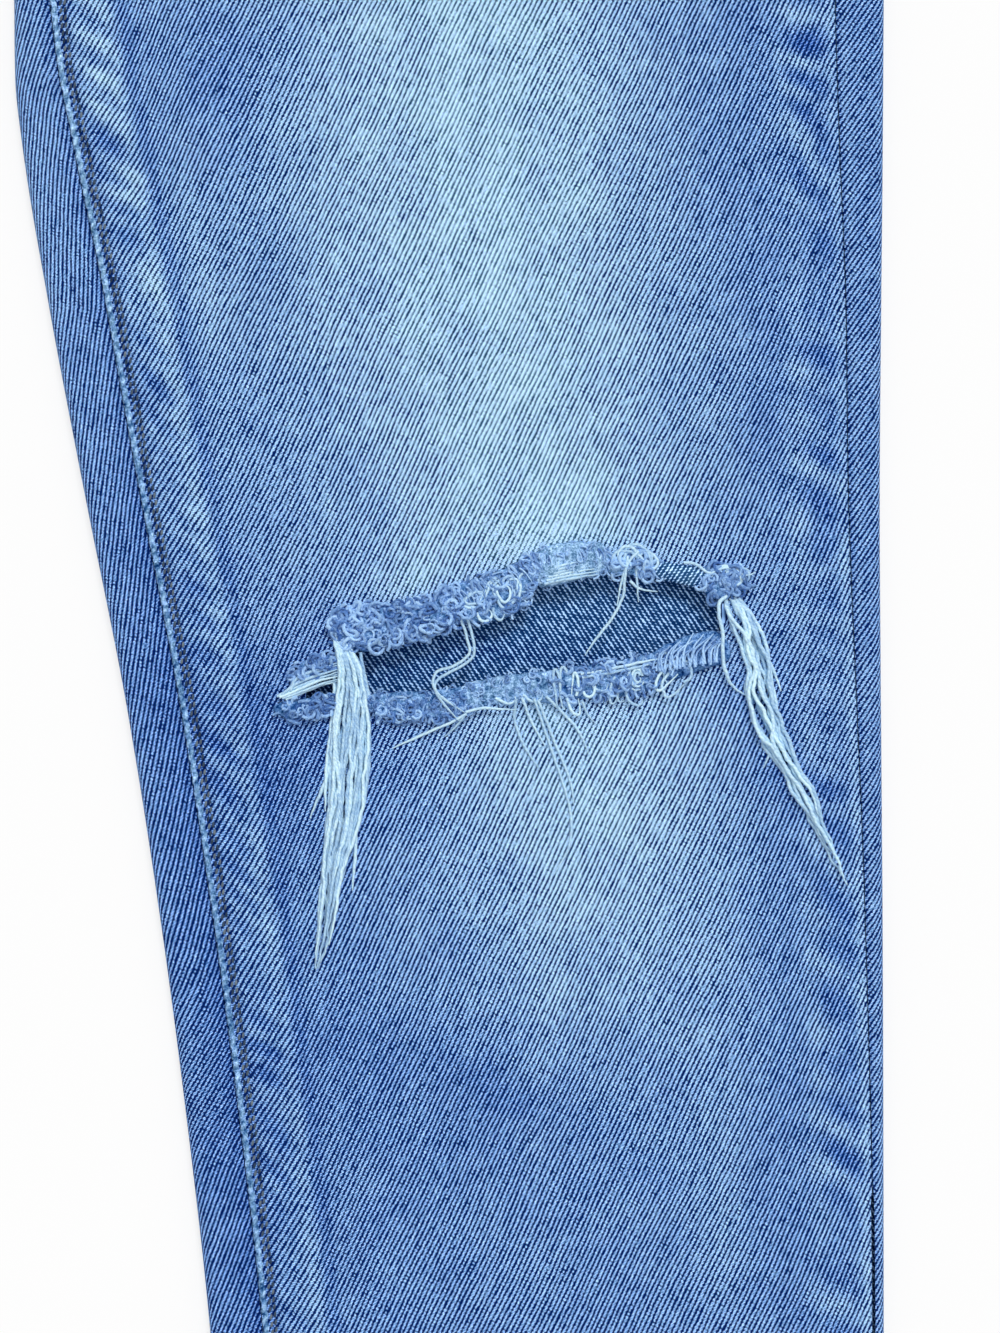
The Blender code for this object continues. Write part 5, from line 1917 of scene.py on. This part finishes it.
# %% Loops
Loop = namedtuple("Loop", "x y wide tall lean turns start rise")
PALE_LOOPS = [Loop(*row) for row in (
    (121.4, -114.6, 4.4, 3.2, 24, 0.8, 0.4, 1.8),
    (121.8, -114.8, 6, 4.8, 30, 0.75, 0.2, 1.6),
    (128.4, -113.2, 3.4, 4.6, -6, 0.85, 2.4, 1.9),
    (128.6, -113.4, 5.2, 6.6, -10, 0.8, 2.2, 1.7),
    (126, -112.2, 2.6, 7.4, -24, 0.55, 1.4, 1.6),
    (124.2, -113.6, 2.4, 7.8, -28, 0.5, 1.3, 1.5),
    (131, -112.4, 3.8, 5.2, 12, 0.7, 5, 1.5),
    (118.6, -118, 5.6, 2.4, 14, 0.6, 0.3, 1.5),
    (123.6, -118.6, 4.2, 3, 4, 0.7, 2.8, 1.4),
    (127.2, -118.2, 2.2, 4.2, 24, 0.6, 2.2, 1.4),
    (133.4, -110.8, 2.8, 5.6, -14, 0.6, 1.8, 1.4),
    (158.4, -105.6, 5.4, 6.8, 8, 0.52, 0.2, 2),
    (160, -104.8, 6.6, 5.6, -14, 0.6, 0, 2.1),
    (161.6, -104.6, 8.2, 5.6, -12, 0.56, 0.1, 1.8),
    (163.4, -105.2, 3.4, 5.2, -18, 0.8, 5.4, 1.9),
    (165.2, -105.6, 3, 4.2, -30, 0.75, 5.6, 1.6),
    (160.6, -106.2, 3.8, 6.2, 4, 0.55, 0.3, 1.6),
    (142, -137.4, 2, 9.6, 5, 0.62, 0.6, 1.7),
    (146.2, -136.4, 1.4, 7.6, -4, 0.7, 5.6, 1.8),
    (143.6, -136.8, 2.6, 9.4, 4, 0.6, 0.8, 1.5),
    (145.8, -139.8, 2.4, 9.4, 14, 0.52, 3, 1.4),
    (161.8, -134.4, 2, 2.2, 0, 0.9, 0.6, 1.8),
    (161.8, -134.6, 3.6, 3.8, 6, 0.85, 0.4, 1.7),
    (161.6, -134.8, 5.2, 5.2, 10, 0.7, 0.5, 1.5),
    (158.6, -137.8, 2.8, 6.4, -22, 0.6, 1.6, 1.5),
    (156.2, -137.4, 2.6, 6, -6, 0.6, 1.7, 1.4),
    (161.2, -139.2, 5.4, 3, -26, 0.6, 2.6, 1.4),
    (169.8, -133.4, 3.4, 10.4, -36, 0.8, 1.5, 1.9),
    (171.6, -134.6, 4.2, 12, -42, 0.78, 1.4, 1.8),
    (168.6, -131.4, 1.8, 7.2, 10, 0.6, 0.8, 1.6),
    (172.8, -132.6, 5.6, 5, -20, 0.6, 5.2, 1.6),
    (152.6, -135.8, 3.2, 4.4, -10, 0.6, 2.6, 1.4),
    (149.6, -136.8, 3.8, 4, 20, 0.66, 3.4, 1.4),
    (135.6, -138.4, 5.4, 3.4, 0, 0.5, 3.2, 1.3),
    (129, -139.2, 5, 3, 6, 0.5, 3.1, 1.3),
    (182.4, -108.6, 3, 5, -30, 0.7, 5.6, 1.6),
    (185.6, -109, 4.6, 3.6, -12, 0.7, 4.8, 1.6),
    (188.2, -109, 3.4, 3, 12, 0.8, 5.2, 1.4),
)]


def loop_route(loop):
    """Part of an uneven ellipse about a place, leaning by degrees."""
    count = max(int(loop.turns * 14), 8)
    angle = np.linspace(loop.start, loop.start + loop.turns * math.tau, count)
    uneven = 1 + 0.16 * np.sin(2 * angle + loop.x) + 0.08 * np.sin(3 * angle + loop.y)
    across = loop.wide / 2 * np.cos(angle) * uneven
    up = loop.tall / 2 * np.sin(angle) * uneven
    lean = math.radians(loop.lean)
    x = loop.x + across * math.cos(lean) - up * math.sin(lean)
    y = loop.y + across * math.sin(lean) + up * math.cos(lean)
    return np.column_stack([x, y])


pale_routes = [laid(loop_route(loop), loop.rise) for loop in PALE_LOOPS]
pale_loops = yarns("yarns_loops", pale_routes, width=0.78, crimp=0.5, tone=0.78, spread=0.2)

# %% Wefts side by side
weft_lines = []
for number in range(6):
    rise = number * 0.8
    weft_lines.append(laid([
        (138.6 + number * 0.5, -110.9 + rise),
        (145.0 + number * 0.2, -109.7 + rise),
        (152.8 - number * 0.9, -108.5 + rise * 0.75),
    ], 1.7 + 0.1 * number))
for number in range(10):
    rise = number * 0.52
    weft_lines.append(laid([
        (71.8 + abs(number - 3) * 0.7, -139.8 + rise * 0.5),
        (77.0 + 0.4 * math.sin(number * 2.3), -138.6 + rise + 0.35 * math.sin(number * 3.1)),
        (82.4, -136.4 + rise * 1.05 - 0.3 * math.sin(number * 1.9)),
        (87.4, -135.2 + rise * 1.1),
    ], 0.9 + 0.35 * (number % 3)))
wefts = yarns("yarns_wefts", weft_lines, width=0.8, crimp=0.45, tone=0.78, spread=0.18)

# %% [markdown]
# ## The frayed edges
#
# Along both edges of the tear the cloth has rolled outward and its cut warp ends have curled up.
# Sculpting that would be endless, so each stretch is a lumpy roll of denim, with painted shade in its
# hollows and a painted highlight on its lumps, and a pile of curls strewn over it by Geometry Nodes.
# There are three shapes of curl: an open ring, a hairpin and a small spiral, each a tube of a few
# dozen faces.

# %% Geometry Nodes: curls strewn over a roll
CURL_SIDES = 5


def curl_tree():
    """Curls of three shapes strewn over faces, each turned, sized and toned by chance."""
    names = ("Density", "Radius", "Width", "Tilt", "Tone", "Spread")
    sizes = [(size, "Float") for size in names] + [("Seed", "Int"), ("Yarn", "Material")]
    board, given = tree_with("curls", sizes)
    values = {"Mesh": given["Geometry"], "Density": given["Density"], "Seed": given["Seed"]}
    spots = board.add("GeometryNodeDistributePointsOnFaces", values=values, out="Points")
    ring = board.add("GeometryNodeCurveArc", values={"Resolution": 10, "Radius": 1.0, "Sweep Angle": 4.5})
    hairpin = board.add("GeometryNodeTransform", values={"Geometry": ring, "Scale": (0.45, 1.5, 1.0)})
    values = {"Resolution": 9, "Rotations": 1.2, "Start Radius": 0.3, "End Radius": 1.1, "Height": 0.5}
    spiral = board.add("GeometryNodeCurveSpiral", values=values)
    scale = board.vector(given["Radius"], given["Radius"], given["Radius"])
    join = board.tree.nodes.new("GeometryNodeJoinGeometry")
    for line in (ring, hairpin, spiral):
        sized = board.add("GeometryNodeTransform", values={"Geometry": line, "Scale": scale})
        marked = board.stored(sized, "along", board.add("GeometryNodeSplineParameter", out="Length"))
        profile = round_profile(board, CURL_SIDES, given["Width"] * 0.5)
        values = {"Curve": marked, "Profile Curve": profile, "Fill Caps": True}
        swept = board.add("GeometryNodeCurveToMesh", values=values)
        alone = board.add("GeometryNodeGeometryToInstance", values={0: swept})
        board.tree.links.new(alone.socket, join.inputs[0])
    shapes = Number(board, join.outputs[0])
    back = given["Tilt"] * -1
    low = board.vector(back, back, -math.pi)
    high = board.vector(given["Tilt"], given["Tilt"], math.pi)
    turn = board.random(low, high, "FLOAT_VECTOR", Seed=5)
    size = board.random(0.65, 1.35, Seed=6)
    low = given["Tone"] - given["Spread"]
    high = given["Tone"] + given["Spread"]
    toned = board.stored(spots, "tone", board.random(low, high, Seed=7))
    values = {"Points": toned, "Instance": shapes, "Pick Instance": True, "Rotation": turn, "Scale": size}
    curls = board.add("GeometryNodeInstanceOnPoints", values=values)
    return close_tree(board, curls, given["Yarn"])


CURLS = curl_tree()
print("curl tree:", len(CURLS.nodes), "nodes")

# %% Table of the rolls and their piles
Fray = namedtuple("Fray", "x lower upper")
Pile = namedtuple("Pile", "name line height tone curls radius width tilt pale spread")
PILES = [
    Pile("top_inner", (
        (85, -122.8, -120), (89, -126.8, -118.4), (94.5, -127.8, -117), (101, -125.5, -116),
        (108, -123.9, -115.2), (114, -122.1, -113), (118.5, -121.3, -110.8),
    ), 1.5, 88, 150, 1.65, 0.8, 0.75, 0.66, 0.34),
    Pile("top_middle", (
        (112, -121.2, -113.4), (118, -120.6, -110.8), (125, -120.2, -108.8), (131, -118.3, -106),
        (137.2, -113.2, -103.4),
    ), 1.4, 100, 74, 1.5, 0.72, 0.6, 0.72, 0.3),
    Pile("top_block", (
        (135.6, -112.2, -103), (138.5, -111.8, -102), (146.3, -109.9, -100.6), (151, -109.2, -100.6),
        (155, -108, -102.6),
    ), 2.2, 136, 34, 0.9, 0.42, 1, 0.8, 0.16),
    Pile("top_outer", (
        (154, -108.8, -102.8), (159, -108.6, -103.2), (165, -109.4, -103.6), (168, -110, -105),
    ), 1.4, 112, 50, 1.35, 0.7, 0.7, 0.8, 0.2),
    Pile("top_corner", (
        (177, -112.4, -106.4), (181, -114.6, -106.4), (186, -113.8, -107), (190.6, -109.8, -108),
    ), 1.3, 88, 48, 1.35, 0.74, 0.8, 0.64, 0.3),
    Pile("bottom_inner", (
        (94.2, -143.2, -138.5), (101, -143.4, -138.3), (108.3, -143.4, -138), (114, -142.8, -137.4),
        (120, -141.4, -136.5),
    ), 1.2, 92, 70, 0.8, 0.55, 0.6, 0.62, 0.25),
    Pile("bottom_inner_edge", (
        (95.6, -144, -141), (108.3, -144.9, -141.4), (120, -143.2, -139.8),
    ), 1.2, 84, 80, 1.3, 0.7, 0.6, 0.66, 0.3),
    Pile("bottom_middle", (
        (118, -142.2, -136), (124, -141.2, -134.9), (131, -140.6, -133.7), (137, -140.4, -133.1),
        (142.5, -141, -132.5),
    ), 1.2, 126, 64, 0.8, 0.5, 0.6, 0.74, 0.25),
    Pile("bottom_outer", (
        (141, -140, -132.4), (148, -139.6, -131.6), (155, -139.2, -130.4), (162, -138.2, -129.2),
        (168, -136.2, -127.8),
    ), 1.3, 96, 90, 1.35, 0.72, 0.7, 0.7, 0.3),
    Pile("bottom_flap", (
        (165, -134.4, -128.2), (170, -134.8, -125.8), (175, -133.4, -123.8), (180, -131.6, -122.8),
        (185, -130.6, -125),
    ), 1.4, 80, 6, 1.3, 0.7, 0.5, 0.6, 0.2),
    Pile("slit_upper", (
        (75, -137.6, -134.2), (79, -136, -130.4), (84, -133.4, -128.8), (86.6, -132, -129.4),
    ), 1.2, 84, 34, 1.3, 0.72, 0.7, 0.62, 0.3),
    Pile("slit_lower", (
        (70.8, -143.6, -140.8), (76, -144.8, -140.2), (82, -143.6, -139.4), (87.2, -142, -139),
    ), 1.2, 84, 38, 1.3, 0.72, 0.7, 0.62, 0.3),
]
print("curls in all:", sum(pile.curls for pile in PILES))

# %% Rolls with their curls
ROLL_AROUND = 14
ROLL_STEP = 0.4
FRAY_FLOOR = LEG_TOP + 0.1  # no roll sinks below this
UPWARD = 0.1  # how far a roll's face has to look up to grow curls


def frayed_roll(pile):
    """A lumpy roll of cloth between the lower and upper line of a pile."""
    table = [Fray(*row) for row in pile.line]
    x = spaced((table[0].x, ROLL_STEP), table[-1].x)[:, None]
    lower = smooth_line(table, "lower", x)
    upper = smooth_line(table, "upper", x)
    end = np.minimum(x - x[0], x[-1] - x)
    narrow = 0.25 + 0.75 * np.sqrt(np.clip(end / 2.5, 0, 1))
    angle = round_angles(ROLL_AROUND)
    half = (upper - lower) / 2 * narrow + 0.25
    small = patchy(x, 2.2 * np.cos(angle) + 0 * x, 1.5, 71.0)
    large = patchy(x, angle + 0 * x, 4.0, 72.0)
    lumps = 0.55 * small + 0.3 * large
    y = (upper + lower) / 2 + half * np.cos(angle) + 0.4 * lumps * np.cos(angle)
    px = x + 0.35 * patchy(y, x, 1.9, 73.0)
    dome = np.maximum(np.sin(angle), 0) ** 0.7
    rise = (pile.height * narrow + 0.8 * lumps) * dome
    z = front_over(px, y, True) + 0.1 + rise - 0.3 * (np.sin(angle) < -0.1)
    rings = joined(px, y, np.maximum(z, FRAY_FLOOR))
    weave = joined(px, y + angle * 0.4)
    # Painted highlight on the lumps on top of the roll, and painted shade in the hollows between them.
    tone = (pile.tone + 42 * lumps * dome + 4 * patchy(px, y, 3, 74.0)) / WHITE_TONE
    return tube("roll_" + pile.name, rings, weave, tone, FLUFF)


def strewn(pile, roll, seed):
    """Curls over the upper faces of a roll, as many as its pile says."""
    area = sum(face.area for face in roll.data.polygons if face.normal.z > UPWARD)
    base = roll.data.copy()
    shape = bmesh.new()
    shape.from_mesh(base)
    hidden = [face for face in shape.faces if face.normal.z <= UPWARD]
    bmesh.ops.delete(shape, geom=hidden, context="FACES")
    shape.to_mesh(base)
    shape.free()
    sizes = {"Density": pile.curls / area, "Radius": pile.radius * MM, "Width": pile.width * MM}
    sizes |= {"Tilt": pile.tilt, "Tone": pile.pale, "Spread": pile.spread}
    sizes |= {"Seed": seed, "Yarn": BLUE_YARN}
    return grown("curls_" + pile.name, base, CURLS, sizes)


rolls_of = {}
curls_of = {}
for number, pile in enumerate(PILES):
    rolls_of[pile.name] = frayed_roll(pile)
    curls_of[pile.name] = strewn(pile, rolls_of[pile.name], number + 3)

# %% Combed strands
def combed(start, end, count, length, lean, bow, rise):
    """Short curved strands side by side from a start to an end, leaning by degrees."""
    lines = []
    for number in range(count):
        share = number / max(count - 1, 1)
        x = start[0] + (end[0] - start[0]) * share + 0.3 * math.sin(number * 2.7)
        y = start[1] + (end[1] - start[1]) * share + 0.3 * math.sin(number * 4.1)
        turn = math.radians(lean + 9 * math.sin(number * 1.7))
        reach = length * (0.85 + 0.2 * math.sin(number * 3.3))
        side = bow * (0.8 + 0.3 * math.cos(number * 1.1))
        tip = (x + reach * math.cos(turn), y + reach * math.sin(turn))
        middle = ((x + tip[0]) / 2 - side * math.sin(turn), (y + tip[1]) / 2 + side * math.cos(turn))
        lines.append(laid([(x, y), middle, tip], rise + 0.3 * math.sin(number * 5.2)))
    return lines


comb_lines = combed((115.6, -113.2), (136.4, -105.4), 34, 4.4, -58, 0.5, 1.8)
comb_lines += combed((137.4, -104.0), (153.8, -102.2), 26, 3.4, -82, 0.4, 2.1)
comb_lines += combed((179.4, -107.0), (188.6, -108.0), 12, 3.8, -64, 0.6, 1.5)
arc_lines = combed((167.4, -132.8), (181.6, -130.6), 21, 8.2, 66, 1.6, 2.6)
arc_lines += combed((165.6, -132.2), (170.4, -133.6), 7, 4.6, 40, 1.2, 2.3)
arcs = yarns("yarns_arcs", arc_lines, width=0.8, crimp=0.35, tone=0.86, spread=0.22, yarn=BLUE_YARN)
combs = yarns("yarns_combed", comb_lines, width=0.64, crimp=0.45, tone=0.74, spread=0.3, yarn=BLUE_YARN)

# %% Folded edge
FOLDED_EDGE = [
    Fray(165.6, -109.4, -104.6),
    Fray(169, -110.2, -105.4),
    Fray(174, -111.4, -106.2),
    Fray(179.6, -112.8, -106.8),
]


def folded_edge():
    """The one stretch where the cloth is turned over whole and shows its wrong side."""
    x = spaced((FOLDED_EDGE[0].x, 0.7), FOLDED_EDGE[-1].x)[:, None]
    angle = round_angles(16)
    lower = smooth_line(FOLDED_EDGE, "lower", x)
    upper = smooth_line(FOLDED_EDGE, "upper", x)
    y = (lower + upper) / 2 + (upper - lower) / 2 * np.cos(angle)
    px = x + 0 * angle
    z = front_over(px, y, True) + 0.1 + 1.3 * np.maximum(np.sin(angle), -0.1)
    weave = joined(px * 1.15 - y * 0.2, y + px * 0.2)
    # Painted light and shade: lighter on top of the fold and darker underneath.
    tone = (110 + 18 * np.sin(angle) + 20 * patchy(px, y, 2.2, 81.0)) / WHITE_TONE
    return tube("folded_edge", joined(px, y, np.maximum(z, FRAY_FLOOR)), weave, tone, INSIDE)


fold = folded_edge()

# %% [markdown]
# ## Floor, light and camera
#
# The jeans lie on a plain white floor under a large soft lamp from the waist's side, with an even
# sky to fill the shadows. The camera looks straight down at the torn knee.

# %% Floor
def floor_white():
    """Plain white that mostly glows for the camera, so that it stays even under a shadow."""
    material = bpy.data.materials.new("white_floor")
    material.use_nodes = True
    tree = material.node_tree
    tree.nodes.clear()
    board = Board(tree)
    plain = board.add("ShaderNodeBsdfDiffuse", values={"Color": (0.95, 0.95, 0.95, 1)})
    glow = board.add("ShaderNodeEmission", values={"Color": (1, 1, 1, 1), "Strength": 1.0})
    seen = board.add("ShaderNodeLightPath", out="Is Camera Ray")
    mixed = board.add("ShaderNodeMixShader", values={0: seen * 0.75, 1: plain, 2: glow})
    end = tree.nodes.new("ShaderNodeOutputMaterial")
    tree.links.new(mixed.socket, end.inputs["Surface"])
    return material


def floor():
    size = 6.0
    level = -0.2 * MM
    corners = [(-size, -size, level), (size, -size, level), (size, size, level), (-size, size, level)]
    mesh = bpy.data.meshes.new("floor")
    mesh.from_pydata(corners, [], [(0, 1, 2, 3)])
    mesh.materials.append(floor_white())
    return add_piece("floor", mesh)


floor()
print("floor laid")

# %% Light and camera
KNEE = Vector((127.5 * MM, -131.6 * MM, 0))
VIEW_TALL = 333.3 * MM
LENS = 100.0
SENSOR = 36.0


def sky():
    world = bpy.context.scene.world or bpy.data.worlds.new("sky")
    bpy.context.scene.world = world
    world.use_nodes = True
    background = next(node for node in world.node_tree.nodes if node.type == "BACKGROUND")
    background.inputs["Color"].default_value = (1.0, 1.0, 1.0, 1.0)
    background.inputs["Strength"].default_value = 0.62


def sun():
    lamp = bpy.data.lights.new("sun", "SUN")
    lamp.energy = 1.55
    lamp.angle = math.radians(16)
    piece = add_piece("sun", lamp)
    toward = Vector((-0.18, -0.62, -0.77))
    piece.rotation_euler = toward.to_track_quat("-Z", "Y").to_euler()


def camera():
    """A long lens that looks straight down at the knee, high enough for the whole view."""
    lens = bpy.data.cameras.new("camera")
    lens.lens = LENS
    lens.sensor_fit = "VERTICAL"
    lens.sensor_height = SENSOR
    piece = add_piece("camera", lens)
    piece.location = KNEE + Vector((0, 0, VIEW_TALL * LENS / SENSOR + 5 * MM))
    bpy.context.scene.camera = piece


sky()
sun()
camera()
bpy.context.scene.view_settings.view_transform = "Standard"
print("camera over", tuple(round(value / MM, 1) for value in KNEE))

# %% [markdown]
# ## Declarations
#
# Every piece lies still on the one body, and the solids that it stands in for are hidden. Each call
# also names a material slot, and for cut cloth the size that it was cut flat, but these are not used.

# %% How a piece is declared
def declare(piece, slot, *nodes):
    """The body that a piece rides on, and the solids that it replaces, if any. Its slot is not used."""
    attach(piece, "root")
    if nodes:
        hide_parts(*nodes)


def cloth(piece, slot, width, length, share, node, with_pieces=()):
    """Declares cut cloth as any piece. Its flat size in millimetres and the share of that which is cloth
    are worked out but not used.
    """
    declare(piece, slot, node)
    area = None if share is None else width * length * share * MM * MM
    flat = (width * MM, length * MM)


# %% What each piece is
FRONT = (235, 966, 0.75)
cloth(front_right, "faded_denim", *FRONT, "front_right")
for word, back, yoke, facing, pocket in zip(("left", "right"), backs, yokes, facings, pockets):
    cloth(back, "mid_denim", 300, 920, 0.73, "back_" + word)
    cloth(yoke, "mid_denim", 210, 62, 0.84, "yoke_" + word)
    cloth(facing, "mid_denim", 76, 62, 0.9, "pocket_facing_" + word)
    cloth(pocket, "mid_denim", 138, 148, 0.88, "back_pocket_" + word)
cloth(fly, "faded_denim", 37, 128, 0.95, "fly")
cloth(band, "mid_denim", 760, 38, None, "waistband")
for word, loop in loops.items():
    cloth(loop, "mid_denim", 10, 43, None, "belt_loop_" + word)
declare(button, "aged_metal", "waist_button")
for piece in rolls + inseam_stitches:
    declare(piece, "faded_denim")
for piece in other_stitches:
    on_front = piece.name.startswith(("front", "fly"))
    declare(piece, "faded_denim" if on_front else "mid_denim")
declare(inner_bundle, "white_yarn", "threads_inner")
declare(outer_bundle, "white_yarn", "threads_outer")
declare(rolls_of["top_inner"], "blue_fray", "fray_top")
declare(rolls_of["bottom_inner"], "blue_fray", "fray_bottom")
for piece in (thin_threads, pale_loops, wefts):
    declare(piece, "white_yarn")
other_rolls = [roll for name, roll in rolls_of.items() if name not in ("top_inner", "bottom_inner")]
for piece in (combs, arcs, fold, *other_rolls, *curls_of.values()):
    declare(piece, "blue_fray")
fringe = [inner_bundle, outer_bundle, thin_threads, pale_loops, wefts, combs, arcs, fold]
fringe += [*rolls_of.values(), *curls_of.values()]
cloth(front_left, "faded_denim", *FRONT, "front_left", fringe)
print("pieces over the torn front:", len(fringe))
